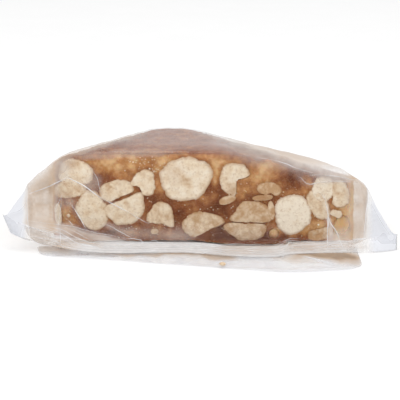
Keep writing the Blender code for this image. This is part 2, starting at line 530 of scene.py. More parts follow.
@dataclass(frozen=True)
class FrontView:
    """The viewing direction, and the places of the 400 by 400 frame that creases are given in.

    Args:
        setting: The brittle's frame.
        elevation: Degrees above the horizon.
        distance: Metres from the camera to its target.
        target_height: Height of the target over the cut side's foot, in millimetres.
        lens: Focal length in millimetres.
        sensor: Width of the camera's sensor in millimetres.
        frame_size: Width and height of the frame that places are given in.
    """

    setting: BrittleFrame
    elevation: float = 14.0
    distance: float = 0.55
    target_height: float = 12.0
    lens: float = 183.3
    sensor: float = 36.0
    frame_size: float = 400.0

    def target(self) -> Vector:
        """Returns the point that the camera looks at."""
        return Vector(self.setting.placed((0.0, 0.0, self.target_height)))

    def back(self) -> Vector:
        """Returns the direction from the target to the camera."""
        lift = math.radians(self.elevation)
        return Vector((0.0, -math.cos(lift), math.sin(lift)))

    def eye(self) -> Vector:
        """Returns the camera's place."""
        return self.target() + self.back() * self.distance

    def ray(self, across: float, down: float) -> Vector:
        """Returns the direction from the camera through one place of the frame."""
        half = self.frame_size / 2.0
        reach = self.sensor / self.lens / self.frame_size
        right = Vector((1.0, 0.0, 0.0))
        up = self.back().cross(right)
        return (right * (across - half) * reach + up * (half - down) * reach - self.back()).normalized()

    def seen(self, points: Array) -> Array:
        """Returns the places in the frame, across and down, of points in the row frame's metres."""
        back = np.array(self.back())
        right = np.array((1.0, 0.0, 0.0))
        up = np.cross(back, right)
        offset = points - np.array(self.eye())
        depth = -(offset @ back) * self.sensor / self.lens / self.frame_size
        half = self.frame_size / 2.0
        return np.column_stack((half + (offset @ right) / depth, half - (offset @ up) / depth))

    def faced(self, points: Array, normals: Array) -> Array:
        """Returns 1 for points whose surface faces the camera and 0 for those turned away."""
        way = np.array(self.eye()) - points
        way /= np.linalg.norm(way, axis=1)[:, None]
        return np.clip(np.sum(way * normals, axis=1) * 8.0 + 1.0, 0.0, 1.0)

    def camera(self) -> Piece:
        """Makes the scene's camera."""
        data = bpy.data.cameras.new("camera")
        data.lens = self.lens
        data.sensor_width = self.sensor
        data.clip_start = 0.01
        data.clip_end = 20.0
        camera = linked("camera", data)
        camera.location = self.eye()
        camera.rotation_euler = (-self.back()).to_track_quat("-Z", "Y").to_euler()
        bpy.context.scene.camera = camera
        return camera


# ---------------------------------------------------------------- the film


@dataclass(frozen=True)
class Patch:
    """A soft spot that changes a value around one place.

    Args:
        middle: Its place in millimetres.
        reach: How far it reaches along X, Y and Z.
        amount: How much it adds.
        brittle_light: How much it adds to the second value, such as the film's tint of painted brown light
            from the brittle.
        power: 2 for a soft edge, more for a firmer one.
    """

    middle: Triple
    reach: Triple
    amount: float
    brittle_light: float = 0.0
    power: float = 2.0

    def weights(self, points: Array) -> Array:
        """Returns 1 in its middle, falling to 0 outside, for each point."""
        offset = np.abs(points - np.array(self.middle)) / np.array(self.reach)
        return np.exp(-np.sum(offset**self.power, axis=1))


@dataclass(frozen=True)
class Wash:
    """A milky area of the film, with painted brown light and shadow where it is tinted, as the front view
    sees it.

    Args:
        name: What it is.
        middle: Its place in the 400 by 400 frame, across and down.
        reach: How far it reaches along itself and across itself.
        haze: How much milkiness it adds.
        tint: How much painted brown light from the brittle it adds, deepening to painted shadow.
        lean: Degrees by which it slopes down to the right.
        power: 2 for a soft edge, more for a firmer one.
    """

    name: str
    middle: Pair
    reach: Pair
    haze: float
    tint: float = 0.0
    lean: float = 0.0
    power: float = 2.0

    def weights(self, places: Array) -> Array:
        """Returns 1 in its middle, falling to 0 outside, for places in the frame."""
        turn = math.radians(self.lean)
        offset = places - np.array(self.middle)
        along = offset[:, 0] * math.cos(turn) + offset[:, 1] * math.sin(turn)
        across = offset[:, 1] * math.cos(turn) - offset[:, 0] * math.sin(turn)
        far_along = np.abs(along / self.reach[0]) ** self.power
        far_across = np.abs(across / self.reach[1]) ** self.power
        return np.exp(-far_along - far_across)


def washed(washes: Sequence[Wash], places: Array, drift: float = 1.1) -> tuple[Array, Array]:
    """Adds up the haze and the tint of washes at places in the frame.

    Args:
        washes: The washes.
        places: Places in the frame.
        drift: How far their edges wander, in the frame's units.

    Returns:
        The haze and the tint at each place.
    """
    haze = np.zeros(len(places))
    tint = np.zeros(len(places))
    flat = np.column_stack((places, np.zeros(len(places))))
    slip = np.column_stack((roughness_at(flat, 16.0, 51.0, 2), roughness_at(flat, 16.0, 52.0, 2)))
    places = places + slip * drift * 2.0
    for wash in washes:
        weight = wash.weights(places)
        haze += wash.haze * weight
        tint += wash.tint * weight
    return haze, tint


# Haze and tint as the front view sees them: partly the film's own milkiness, partly painted glare where it
# runs over the top, with painted brown light from the brittle where tinted.
FILM_WASHES = (
    Wash("left_end", (40.0, 214.0), (15.4, 40.0), 0.66, 0.40, 3.0, 5.0),
    Wash("left_end_brow", (44.0, 185.0), (12.0, 9.0), 0.12, 0.14, -20.0),
    Wash("left_end_foot", (40.0, 228.0), (12.0, 7.0), 0.04, -0.20),
    Wash("right_end", (357.4, 214.0), (9.2, 40.0), 0.62, 0.38, 0.0, 5.0),
    Wash("left_ear", (13.5, 215.0), (14.0, 40.0), 0.74, -0.08, 0.0, 8.0),
    Wash("right_ear", (384.5, 222.0), (16.5, 40.0), 0.74, -0.08, 0.0, 8.0),
    Wash("pleat_top", (329.6, 226.0), (2.2, 9.0), 0.36, 0.0, -10.0, 4.0),
    Wash("pleat", (334.0, 242.0), (6.8, 9.5), 0.46, 0.0, -8.0, 4.0),
    Wash("brow_zone", (338.0, 178.0), (22.0, 4.0), 0.36, 0.14, 0.0, 4.0),
    Wash("top_edge", (122.0, 154.0), (48.0, 3.6), 0.30, 0.24, -3.0, 4.0),
    Wash("top_left", (160.0, 142.0), (50.0, 9.0), 0.16, 0.10),
    Wash("upper_right", (322.0, 167.0), (38.0, 8.0), 0.74, 0.09, 14.0),
    Wash("upper_middle", (266.0, 153.0), (46.0, 11.0), 0.44, 0.20, 12.0),
    Wash("right_rim", (285.0, 149.0), (80.0, 7.0), 0.50, 0.12, 14.2, 4.0),
    Wash("left_rim", (98.0, 144.0), (48.0, 5.0), 0.45, 0.28, -17.0, 4.0),
    Wash("upper_left", (53.0, 167.0), (14.0, 11.0), 0.78, 0.26, -30.0),
    Wash("nut_side", (92.0, 184.0), (7.0, 9.0), 0.34, 0.24, 20.0, 3.0),
    Wash("left_face", (68.0, 202.0), (8.0, 7.0), 0.22, 0.16),
    Wash("strand_veil", (77.0, 234.6), (30.0, 6.4), 0.58, 0.22, 14.0, 4.0),
    Wash("fan_gap", (80.0, 237.0), (9.0, 3.2), -0.26, 0.02, 22.0, 3.0),
    Wash("fan_root", (57.0, 230.6), (6.0, 3.0), 0.20, -0.06, 10.0),
    Wash("low_left", (140.0, 234.0), (24.0, 6.0), 0.24, 0.20, 6.0),
    Wash("low_veil_end", (112.0, 239.0), (13.0, 3.0), 0.46, 0.12, 8.0, 3.0),
    Wash("low_tail", (112.0, 226.5), (9.0, 3.4), 0.26, 0.16, 20.0),
    Wash("end_foot", (346.0, 235.0), (7.0, 7.0), 0.34, 0.12, 0.0, 3.0),
    Wash("strip_edge", (53.0, 200.0), (4.2, 28.0), 0.34, 0.10, 0.0, 3.0),
    Wash("low_bridge", (129.0, 231.0), (8.0, 3.4), 0.26, 0.16),
    Wash("low_middle", (177.0, 235.0), (17.0, 5.4), 0.38, 0.22, 2.0),
)
# On the seals negative haze clears the crimped film; the tint is the brittle's brown as painted reflection,
# deepening to painted shadow at its foot.
SEAL_WASHES = (
    Wash("left_foot", (54.0, 246.0), (24.0, 7.0), -0.08, 0.34, 9.0, 4.0),
    Wash("left_patch", (56.0, 243.6), (8.0, 3.0), -0.16, 0.18, 6.0, 3.0),
    Wash("left_gap", (86.0, 242.0), (15.0, 3.2), -0.22, 0.38, 10.0, 3.0),
    Wash("right_end", (356.0, 248.0), (9.0, 9.0), 0.10, 0.16, 0.0, 6.0),
    Wash("left_end", (41.0, 230.0), (12.0, 14.0), 0.0, 0.12, 0.0, 6.0),
    Wash("right_gap", (318.0, 246.0), (34.0, 5.0), -0.06, 0.24, 0.0, 4.0),
    Wash("middle", (246.0, 250.0), (32.0, 5.0), -0.12, 0.28, 0.0, 4.0),
    Wash("left_ear", (13.5, 225.0), (14.0, 40.0), 0.44, -0.08, 0.0, 8.0),
    Wash("right_ear", (384.5, 240.0), (17.0, 40.0), 0.60, -0.08, 0.0, 8.0),
    Wash("right_gather", (302.0, 248.6), (12.0, 2.6), -0.10, 0.22, 0.0, 4.0),
    # Painted shadow at the brittle's foot, to the right.
    Wash("right_foot_shadow", (292.0, 243.0), (13.0, 2.2), -0.22, 0.40, 0.0, 4.0),
)
# On the slack lip the tint is the brittle's brown as painted reflection, darker with painted shade under the
# seal's edge.
LIP_WASHES = (
    Wash("left_foot", (54.0, 248.0), (19.0, 5.0), 0.34, 0.27, 6.0, 4.0),
    Wash("left_line", (150.0, 253.4), (52.0, 2.2), 0.18, 0.36, 0.0, 4.0),
    Wash("middle_strip", (182.0, 255.0), (22.0, 3.2), 0.14, 0.16, 0.0, 4.0),
    Wash("dark_strip", (219.0, 256.2), (19.0, 3.2), 0.34, 0.40, 4.0, 6.0),
    Wash("right_strip", (324.0, 254.6), (38.0, 4.2), 0.40, 0.42, 2.0, 6.0),
    Wash("right_corner", (347.0, 259.5), (15.0, 4.6), 0.30, 0.38, 4.0, 4.0),
    Wash("right_line", (322.0, 254.0), (21.0, 2.0), 0.52, 0.62, 1.0, 4.0),
    Wash("fold_strip", (290.0, 259.0), (26.0, 2.6), 0.10, 0.20, 6.0, 4.0),
)


@dataclass(frozen=True)
class Crease:
    """A fold line of the film, given by places in the 400 by 400 frame.

    Args:
        name: What it is.
        places: Its places in the frame, across and down.
        width: Radius of its bright edge in millimetres.
        height: How far the film stands up along it, in millimetres.
        fade: Share of the length over which its ends thin out.
    """

    name: str
    places: tuple[Pair, ...]
    width: float = 0.10
    height: float = 0.25
    fade: float = 0.4


CREASES = (
    Crease("left_brow", ((29, 194), (40, 190), (50, 186), (60, 181), (67.5, 177.5)), 0.15, fade=0.06),
    Crease(
        "long_slant",
        ((67.5, 177.5), (76, 181.5), (86, 187), (98, 196), (115, 205), (130, 213)), 0.13, fade=0.1,
    ),
    Crease("long_tail", ((130, 213), (140, 219.5), (150, 225)), 0.06),
    Crease("left_fork_a", ((62, 195), (58, 204), (55, 210)), 0.07),
    Crease("left_fork_b", ((62, 195), (60, 215), (58, 228)), 0.07),
    Crease("nut_edge", ((90, 168), (97, 178), (100, 190), (104, 198)), 0.07, fade=0.5),
    Crease("left_low", ((70, 203), (78, 215), (87, 231)), 0.12),
    Crease("left_low_short", ((68, 221), (75, 228)), 0.08),
    Crease("middle_low", ((107, 225), (120, 232), (133, 239)), 0.08),
    Crease("pleat_left", ((322, 194), (327.5, 209), (328, 222), (327.5, 235), (327.5, 251)), 0.12),
    Crease("pleat_right", ((324, 194), (329, 219.5), (336.5, 232), (339.7, 241), (344, 251)), 0.11),
    Crease("brow_a", ((257, 158), (279, 162), (297, 168.5), (315, 173.6)), 0.10, fade=0.4),
    Crease("brow_b", ((299.5, 177), (308, 184), (319, 182.5), (331, 181), (353, 182.5)), 0.12),
    Crease("brow_c", ((310, 175), (334, 176), (350, 180), (357, 181)), 0.10),
    Crease("right_edge", ((357, 181), (366, 189), (368, 199), (366, 212), (364.5, 228), (363, 247.5)), 0.12),
    Crease("left_fold", ((28, 182), (27, 200), (28, 222), (30, 240)), 0.12),
    Crease("left_stud", ((60, 228), (60.5, 242), (60, 256)), 0.08),
    Crease("left_ear_a", ((10, 214), (22, 209), (29, 194)), 0.07),
    Crease("right_ear_a", ((368, 199), (381, 222), (392, 238)), 0.07),
    Crease("right_low", ((290, 240.5), (287, 246), (283, 252)), 0.10),
    Crease(
        "veil_edge",
        ((29, 221), (58, 225), (74, 227), (85, 230), (97, 233), (112, 235.6), (127, 238)), 0.07, 0.12,
    ),
    Crease("strand_a", ((38, 226), (57, 232), (66, 236.7), (74, 242), (85, 245.9), (98, 247)), 0.09, 0.12),
    Crease("strand_b", ((49, 226.8), (63, 230.6), (75, 237.2), (90, 242.8), (104, 244)), 0.09, 0.12),
    Crease("strand_c", ((63, 226.8), (75, 232), (86.6, 238.3), (92, 241.3), (106, 242.4)), 0.08, 0.12),
    Crease("strand_d", ((74, 228), (83.5, 232.9), (96.5, 235.4), (112, 237.4)), 0.07, 0.12),
    Crease("strand_e", ((86, 234), (93, 238.8), (106, 240.4), (124, 241)), 0.07, 0.12),
    Crease("strand_f", ((32, 236), (43, 239), (54, 240.5), (61, 245.5), (66, 250), (77, 252)), 0.10, 0.12),
    Crease("gather_a", ((276, 248), (284, 243), (291, 240.5), (304, 242), (322, 242)), 0.06, 0.12),
    Crease("gather_b", ((291, 240.5), (315, 243.5), (345, 242), (366, 240)), 0.05, 0.12),
)
LIP_CREASES = (
    Crease("lip_fold_a", ((285, 254), (282, 258), (279, 262)), 0.10),
    Crease("lip_fold_b", ((289, 254), (302, 256), (327, 262), (343, 267)), 0.12),
    Crease("lip_fold_c", ((236, 254), (243, 259), (248, 261)), 0.07),
)


@dataclass
class FilmTube:
    """The tube of film: rear seal, top over the brittle, front and its crimped seal with dog-ears.

    Lengths are in millimetres. Shares of a seal run from -1 at its left end to 1 at its right end.

    Args:
        setting: The brittle's frame.
        cut_length: Length of the cut side under the film.
        cut_height: Height of the film over the middle of the cut side.
        left_height: Its height over the left end.
        right_height: Its height over the right end.
        rear_corner: Where it lies over the rear corner.
        side_bulge: How far it stands off the two ends.
        fold_height: Height of its folds there.
        seal_length: Length of the front seal.
        seal_width: Width of both seals.
        seal_widths: How much wider the front seal is at some shares.
        seal_slips: How far it has slipped back at some shares.
        middle_fall: Direction across the front seal in its middle.
        left_fall: Direction across its left end.
        right_fall: Direction across its right end.
        fall_reaches: How much of its width its left and right ends keep.
        crimp_end: Share at which the crimps of the front seal end.
        seal_thickness: Thickness of both seals.
        rear_seal_length: Length of the rear seal.
        rear_seal_y: Y of its inner edge.
        seal_middle: Y and Z where the front seal starts, in its middle.
        ear_y: Y where it starts, at its ends.
        ear_heights: Z where it starts, at its left and right ends.
        ear_rise: Power with which it rises to its ends.
        low_front: Y and Z of the film low on the cut side.
        shares: Shares of the guide points across a flattened tube.
        seal_rows: Coarse steps across a seal.
        steps_along: Coarse steps from guide ring to guide ring.
        steps_around: Coarse steps from guide point to guide point.
        softening: Rounds of softening for the coarse rings.
        fine_softening: Rounds of softening for the fine rings.
        join_rows: Fine rings over which the front seal's exact place fades out.
        crimps: How many ridges cross a seal.
        crimp_height: Their height.
        finer_along: Fine steps for each coarse step along, for each stretch of the tube.
        finer_around: Fine steps for each coarse step around, for each pair of guide points.
        base_haze: Haze of the clear film.
        rear_haze: Haze that is added behind the cut side.
        crease_haze: Haze that is added along creases.
        crimp_haze: Haze that is added on crimps.
        base_tint: Tint of the film before its patches and washes.
        most_haze: The most haze that any place has.
        lift_reach: How far from a crease the film is still lifted.
        glow_reach: How far from a crease it is still milky.
        full_crease: Width from which a crease is fully milky.
        fine_ripple: Size and height of its fine ripples.
        broad_ripple: Size and height of its broad ripples.
        creases: The film's fold lines.
        patches: Milky places at the ends, which also add painted brown light from the brittle, and at the
            dog-ears.
    """

    setting: BrittleFrame
    cut_length: float = 77.0
    cut_height: float = 26.0
    left_height: float = 25.0
    right_height: float = 22.2
    rear_corner: Triple = (-7.8, 33.0, 26.2)
    side_bulge: float = 7.8
    fold_height: float = 17.0
    seal_length: float = 106.2
    seal_width: float = 5.9
    seal_widths: tuple[Pair, ...] = (
        (-1.0, 1.05), (-0.80, 0.98), (-0.66, 1.05), (-0.50, 1.04), (-0.38, 1.18), (-0.30, 1.14),
        (-0.20, 0.95), (-0.10, 0.92), (0.0, 1.06), (0.07, 0.98), (0.13, 0.98), (0.26, 1.10),
        (0.40, 1.10), (0.46, 1.16), (0.55, 1.08), (0.66, 1.02), (0.80, 1.08), (1.0, 1.05),
    )
    seal_slips: tuple[Pair, ...] = (
        (-1.0, 0.0), (-0.50, 0.0), (-0.38, 2.0), (-0.10, 1.8), (0.0, 1.5), (0.07, 0.2),
        (0.13, -1.5), (0.39, -1.7), (0.46, 2.0), (0.55, 1.4), (0.73, 0.6), (1.0, 0.0),
    )
    middle_fall: Triple = (0.0, -0.98, -0.19)
    left_fall: Triple = (0.40, -0.35, -0.83)
    right_fall: Triple = (-0.08, -0.60, -0.72)
    fall_reaches: Pair = (0.9, 0.8)
    crimp_end: float = 0.80
    seal_thickness: float = 0.25
    rear_seal_length: float = 98.0
    rear_seal_y: float = 44.0
    seal_middle: Pair = (-8.8, 1.9)
    ear_y: float = -4.5
    ear_heights: Pair = (9.1, 3.7)
    ear_rise: float = 3.5
    low_front: Pair = (-2.2, 7.0)
    shares: tuple[float, ...] = (-0.87, -0.72, -0.40, 0.15, 0.70, 0.86)
    seal_rows: int = 8
    steps_along: int = 6
    steps_around: int = 4
    softening: int = 2
    fine_softening: int = 6
    join_rows: int = 18
    crimps: int = 5
    crimp_height: float = 0.14
    finer_along: tuple[int, ...] = (1, 3, 7, 7, 4, 3)
    finer_around: tuple[int, ...] = (4, 6, 6, 20, 18, 6, 4, 3, 2, 5, 6, 5, 2, 3)
    base_haze: float = 0.006
    rear_haze: float = 0.06
    crease_haze: float = 0.12
    crimp_haze: float = 0.58
    base_tint: float = 0.10
    most_haze: float = 1.3
    lift_reach: float = 0.8
    glow_reach: float = 0.9
    full_crease: float = 0.12
    fine_ripple: Pair = (3.2, 0.22)
    broad_ripple: Pair = (14.0, 0.30)
    creases: tuple[Crease, ...] = CREASES
    patches: tuple[Patch, ...] = (
        Patch((-43.6, 14.0, 8.0), (5.0, 12.0, 9.0), 0.30, 0.30, 4.0),
        Patch((45.0, 14.0, 8.0), (5.0, 12.0, 9.0), 0.30, 0.30, 4.0),
        Patch((-52.0, -5.0, 6.0), (5.0, 8.0, 9.0), 0.62, -0.10, 6.0),
        Patch((52.5, -5.0, 4.0), (6.0, 8.0, 9.0), 0.62, -0.10, 6.0),
    )

    def seal_start(self, share: float) -> Array:
        """Returns where the front seal starts, at one share of its length from -1 to 1."""
        rise = abs(share) ** self.ear_rise
        ear_height = self.ear_heights[0] if share < 0.0 else self.ear_heights[1]
        y, z = self.seal_middle
        y += float(np.interp(share, *zip(*self.seal_slips)))
        x = share * self.seal_length / 2.0
        return np.array((x, y + (self.ear_y - y) * rise, z + (ear_height - z) * rise))

    def front_seal(self, share: float, across: float) -> Array:
        """Returns a point of the front seal.

        Args:
            share: Share of its length, -1 to 1.
            across: 0 where the film is first pressed flat, 1 at the cut edge.

        Returns:
            The point in millimetres.
        """
        rise = abs(share) ** self.ear_rise
        middle_fall = np.array(self.middle_fall)
        left, right = self.fall_reaches
        ear_fall = np.array(self.left_fall) * left if share < 0.0 else np.array(self.right_fall) * right
        fall = middle_fall + (ear_fall - middle_fall) * rise
        width = self.seal_width * float(np.interp(share, *zip(*self.seal_widths)))
        return self.seal_start(share) + fall * width * across

    def rear_seal(self, share: float, inward: float) -> Array:
        """Returns a point of the rear seal, from its cut edge at 0 to where the film opens at 1."""
        y = self.rear_seal_y + self.seal_width * (1.0 - inward)
        return np.array((share * (self.rear_seal_length / 2.0), y, self.seal_thickness / 2.0))

    def flat_ring(self, point_at: Callable[[float], Array]) -> Array:
        """Returns the guide ring of a flattened tube whose line across is point_at(share)."""
        up = np.array((0.0, 0.0, self.seal_thickness / 2.0))
        top = [point_at(share) + up for share in self.shares]
        bottom = [point_at(share) - up for share in reversed(self.shares)]
        return np.array([point_at(-1.0), *top, point_at(1.0), *bottom])

    def ring(self, left: Sequence[float], top: Sequence, right: Sequence[float], bottom: Sequence) -> Array:
        """Returns a guide ring: the left fold, six points on top, the right fold and six underneath."""
        return np.array([left, *top, right, *reversed(bottom)], float)

    def underside(self, half: float, side_y: float, middle_y: float, side_height: float) -> list:
        """Returns the six guide points on the table, from left to right."""
        return [
            (-half, side_y, side_height),
            (-half + 4.0, side_y, 0.0),
            (-half * 0.45, middle_y, 0.0),
            (half * 0.20, middle_y, 0.0),
            (half - 5.0, side_y, 0.0),
            (half - 1.0, side_y, side_height),
        ]

    def rear_corner_ring(self) -> Array:
        """Returns the guide ring over the rear corner of the brittle."""
        x, y, z = self.rear_corner
        half = self.cut_length / 2.0 + self.side_bulge + 1.0
        top = [
            (-half, y - 2.0, 4.0),
            (x - 4.0, y - 1.0, z - 0.7),
            (x - 1.5, y, z),
            (x + 1.2, y, z),
            (x + 4.0, y - 1.0, z - 0.7),
            (half - 1.0, y - 2.0, 4.0),
        ]
        bottom = self.underside(half, y - 2.0, y, side_height=0.8)
        return self.ring((-half - 0.6, y, 1.8), top, (half - 0.4, y, 1.8), bottom)

    def cut_side_ring(self) -> Array:
        """Returns the guide ring over the top edge of the cut side."""
        end = self.cut_length / 2.0
        half = end + self.side_bulge
        top = [
            (-half, 0.0, self.fold_height + 0.4),
            (-end, 0.0, self.left_height),
            (-end * 0.72, 0.0, self.cut_height),
            (end * 0.20, 0.0, self.cut_height - 0.2),
            (end - 1.0, 0.6, self.right_height),
            (half - 2.0, 0.6, self.fold_height - 0.2),
        ]
        bottom = self.underside(half, 0.0, 0.0, side_height=1.6)
        return self.ring((-half - 0.4, 0.0, 16.5), top, (half - 1.0, 0.0, 15.0), bottom)

    def low_front_ring(self) -> Array:
        """Returns the guide ring low on the cut side, where the film turns towards the seal."""
        end = self.cut_length / 2.0
        half = end + self.side_bulge
        y, z = self.low_front
        top = [
            (-half, -3.2, 12.0),
            (-end - 0.5, -3.0, 10.0),
            (-end * 0.66, y, z + 0.5),
            (end * 0.20, y, z),
            (end, -3.0, 8.0),
            (half - 1.5, -3.5, 10.0),
        ]
        bottom = self.underside(half, -4.0, -6.0, side_height=2.4)
        return self.ring((-half - 3.6, -2.0, 12.4), top, (half + 3.0, -2.8, 9.0), bottom)

    def coarse_rings(self) -> Array:
        """Returns the softened rings of guide points, from the rear seal to the front seal."""
        rows = [row / self.seal_rows for row in range(self.seal_rows + 1)]
        rear = [self.flat_ring(lambda share, row=row: self.rear_seal(share, row)) for row in rows]
        front = [self.flat_ring(lambda share, row=row: self.front_seal(share, row)) for row in rows]
        guides = [rear[-1], self.rear_corner_ring(), self.cut_side_ring(), self.low_front_ring(), front[0]]
        rings = rear[:-1]
        for a, b in zip(guides, guides[1:]):
            rings += [a + (b - a) * step / self.steps_along for step in range(self.steps_along)]
        grid = finer(np.array(rings + front), [self.steps_around] * len(guides[0]), around=True)
        return softened(grid, len(rear), len(grid) - len(rear), 0.5, self.softening)

    def along_counts(self) -> list[int]:
        """Returns how many finer steps each step along the tube is split into."""
        lengths = (self.seal_rows, *[self.steps_along] * 4, self.seal_rows)
        return [count for count, length in zip(self.finer_along, lengths) for _ in range(length)]

    def around_counts(self) -> list[int]:
        """Returns how many finer steps each step around the tube is split into."""
        return [count for count in self.finer_around for _ in range(self.steps_around)]

    def fine_rings(self) -> Array:
        """Returns the fine rings of the film, before its creases and ripples."""
        grid = finer(self.coarse_rings(), self.around_counts(), around=True)
        grid = finer(grid, self.along_counts(), around=False)
        fixed_rear = self.seal_rows * self.finer_along[0]
        fixed_front = self.seal_rows * self.finer_along[-1]
        shares, sides = self.column_shares()
        start = len(grid) - 1 - fixed_front
        half = (sides * (1.0 - 0.8 * np.abs(shares) ** self.ear_rise))[:, None]
        half = half * np.array((0.0, 0.0, self.seal_thickness / 2.0))
        # The front seal's rings get their exact places, and the rings behind it follow them.
        exact = []
        for across in np.linspace(0.0, 1.0, fixed_front + 1):
            line = np.array([self.front_seal(share, across) for share in shares])
            exact.append(line + half * (1.0 - 0.85 * across**4))
        change = exact[0] - grid[start]
        grid[start:] = exact
        for step in range(1, self.join_rows):
            grid[start - step] += change * (1.0 - step / self.join_rows) ** 2
        return softened(grid, fixed_rear, start, 0.4, self.fine_softening)

    def column_shares(self) -> tuple[Array, Array]:
        """Returns each fine column's share of the seal's length, and 1 on top and -1 underneath."""
        count = len(self.shares)
        lengths = (-1.0, *self.shares, 1.0, *reversed(self.shares))
        sides = (0.0, *[1.0] * count, 0.0, *[-1.0] * count)
        columns = np.array([lengths, sides]).T[None]
        columns = finer(columns, [self.steps_around] * len(lengths), around=True)
        columns = finer(columns, self.around_counts(), around=True)[0]
        return columns[:, 0], columns[:, 1]

    def faces(self, rows: int, count: int) -> list[tuple[int, ...]]:
        """Returns quads between neighbouring rings and a strip that closes each flattened end."""
        faces = []
        for i in range(rows - 1):
            for j in range(count):
                k = (j + 1) % count
                faces.append((i * count + j, i * count + k, (i + 1) * count + k, (i + 1) * count + j))
        top = sum(self.around_counts()[: 7 * self.steps_around])
        under = count - top
        for start, flip in ((0, True), ((rows - 1) * count, False)):
            upper = [start + j for j in range(top + 1)]
            lower = [start + (count - round(j * under / top)) % count for j in range(top + 1)]
            for j in range(top):
                corners = tuple(dict.fromkeys((upper[j], upper[j + 1], lower[j + 1], lower[j])))
                faces.append(corners if flip else corners[::-1])
        return [face for face in faces if len(face) > 2]

    def crimped(self, grid: Array) -> tuple[Array, Array]:
        """Presses crimp ridges into both seals.

        Args:
            grid: The fine rings.

        Returns:
            The rings, and how strongly each of their points is crimped.
        """
        crimp = np.zeros(grid.shape[:2])
        for front in (False, True):
            rows = self.seal_rows * self.finer_along[-1 if front else 0]
            for row in range(rows + 1):
                index = len(grid) - 1 - rows + row if front else row
                wave = 0.5 - 0.5 * math.cos(2.0 * math.pi * self.crimps * row / rows)
                share = np.abs(grid[index, :, 0]) / (self.seal_length / 2.0)
                pressed = rising(share, self.crimp_end, -0.08) if front else np.ones(len(share))
                grid[index, :, 2] += self.crimp_height * wave * pressed
                crimp[index] = (0.72 + 0.28 * wave) * pressed + 0.001
        return grid, crimp

    def build(self, view: FrontView, material: Material) -> Piece:
        """Builds the film tube with its creases, ripples and haze.

        Args:
            view: The front view that the creases are given in.
            material: The film's finish.

        Returns:
            The film piece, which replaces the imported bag.
        """
        grid, crimp = self.crimped(self.fine_rings())
        rows, count = grid.shape[:2]
        points = grid.reshape(-1, 3)
        faces = self.faces(rows, count)
        smooth = mesh_piece("bag_film", self.setting.placed(points), faces, material)
        turned_outwards(smooth)
        normals = points_of(smooth.data, "normal")
        self.surface = surface_of(smooth.data)
        self.lines = {crease.name: crease_points(crease, view, self.surface) for crease in self.creases}
        lift, glow = self.crease_lift(points)
        # Ripples fade out on the seals and at the table, and are lower behind the cut side.
        front = rising(points[:, 1], 3.5, -3.0) * rising(points[:, 2], 27.0, -4.0)
        above = rising(points[:, 2], 1.5, 3.0)
        free = above * (crimp.reshape(-1) < 0.01)
        stretched = points * np.array((1.0, 0.25, 0.25))
        fine_size, fine_height = self.fine_ripple
        broad_size, broad_height = self.broad_ripple
        ripple = roughness_at(stretched, fine_size, 1.0, 2) * fine_height
        ripple = ripple + roughness_at(points, broad_size, 2.0, 2) * broad_height
        moved = points + normals * ((lift + ripple * free * (0.6 + 0.4 * front))[:, None])
        moved[:, 2] = np.maximum(moved[:, 2], 0.02)
        placed = self.setting.placed(points)
        faced = view.faced(placed, normals)
        haze, tint = self.haze(points, crimp.reshape(-1), glow, front, view.seen(placed), faced)
        mesh = smooth.data
        mesh.vertices.foreach_set("co", self.setting.placed(moved).reshape(-1))
        carry(mesh, haze=haze, tint=tint)
        mesh.update()
        self.surface = surface_of(mesh)
        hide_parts(BAG_NODE)
        return dressed(smooth)

    def crease_lift(self, points: Array) -> tuple[Array, Array]:
        """Returns how far creases lift each point, in millimetres, and how milky they make it, as film
        whitening and as a painted highlight along each fold.
        """
        lift = np.zeros(len(points))
        glow = np.zeros(len(points))
        for crease in self.creases:
            line = self.lines[crease.name]
            if len(line) < 2:
                continue
            gap = np.min(np.linalg.norm(points[:, None, :] - line[None, :, :], axis=2), axis=1)
            lift = np.maximum(lift, crease.height * bell(gap, self.lift_reach))
            bright = min(1.0, crease.width / self.full_crease)
            glow = np.maximum(glow, bell(gap, self.glow_reach) * bright)
        return lift, glow

    def haze(
        self,
        points: Array,
        crimp: Array,
        glow: Array,
        front: Array,
        places: Array,
        faced: Array,
    ) -> tuple[Array, Array]:
        """Returns how milky and how brown-tinted each point of the film is.

        Args:
            points: The film's points in millimetres.
            crimp: How strongly each is crimped, above 0 all over the seals.
            glow: How close each is to a crease.
            front: 1 on the film's front and 0 behind it.
            places: Where the front view sees each.
            faced: 1 where the front view sees the film's outside.

        Returns:
            The haze and the tint, both 0 to 1.
        """
        sealed = crimp > 0.0
        haze = self.base_haze + self.rear_haze * (1.0 - front) + self.crease_haze * glow * front
        haze = haze + self.crimp_haze * crimp
        tint = np.full(len(points), self.base_tint)
        for patch in self.patches:
            weight = patch.weights(points)
            haze += patch.amount * weight
            tint += patch.brittle_light * weight
        for washes, where in ((FILM_WASHES, ~sealed), (SEAL_WASHES, sealed)):
            more_haze, more_tint = washed(washes, places)
            haze += more_haze * faced * where
            tint += more_tint * faced * where
        tip = np.clip((1.0 - np.abs(points[:, 0]) / (self.seal_length / 2.0)) / 0.012, 0.15, 1.0)
        return np.clip(haze * tip, 0.0, self.most_haze), np.clip(tint, 0.0, 1.0)


def softened(grid: Array, first: int, last: int, kept: float, rounds: int) -> Array:
    """Evens out the rings from first up to last, which keep a share of their own place each time."""
    for _ in range(rounds):
        after = grid.copy()
        here = grid[first:last]
        around = np.roll(here, 1, axis=1) + np.roll(here, -1, axis=1)
        along = grid[first - 1 : last - 1] + grid[first + 1 : last + 1]
        after[first:last] = here * kept + (around + along) * ((1.0 - kept) / 4.0)
        grid = after
    return grid


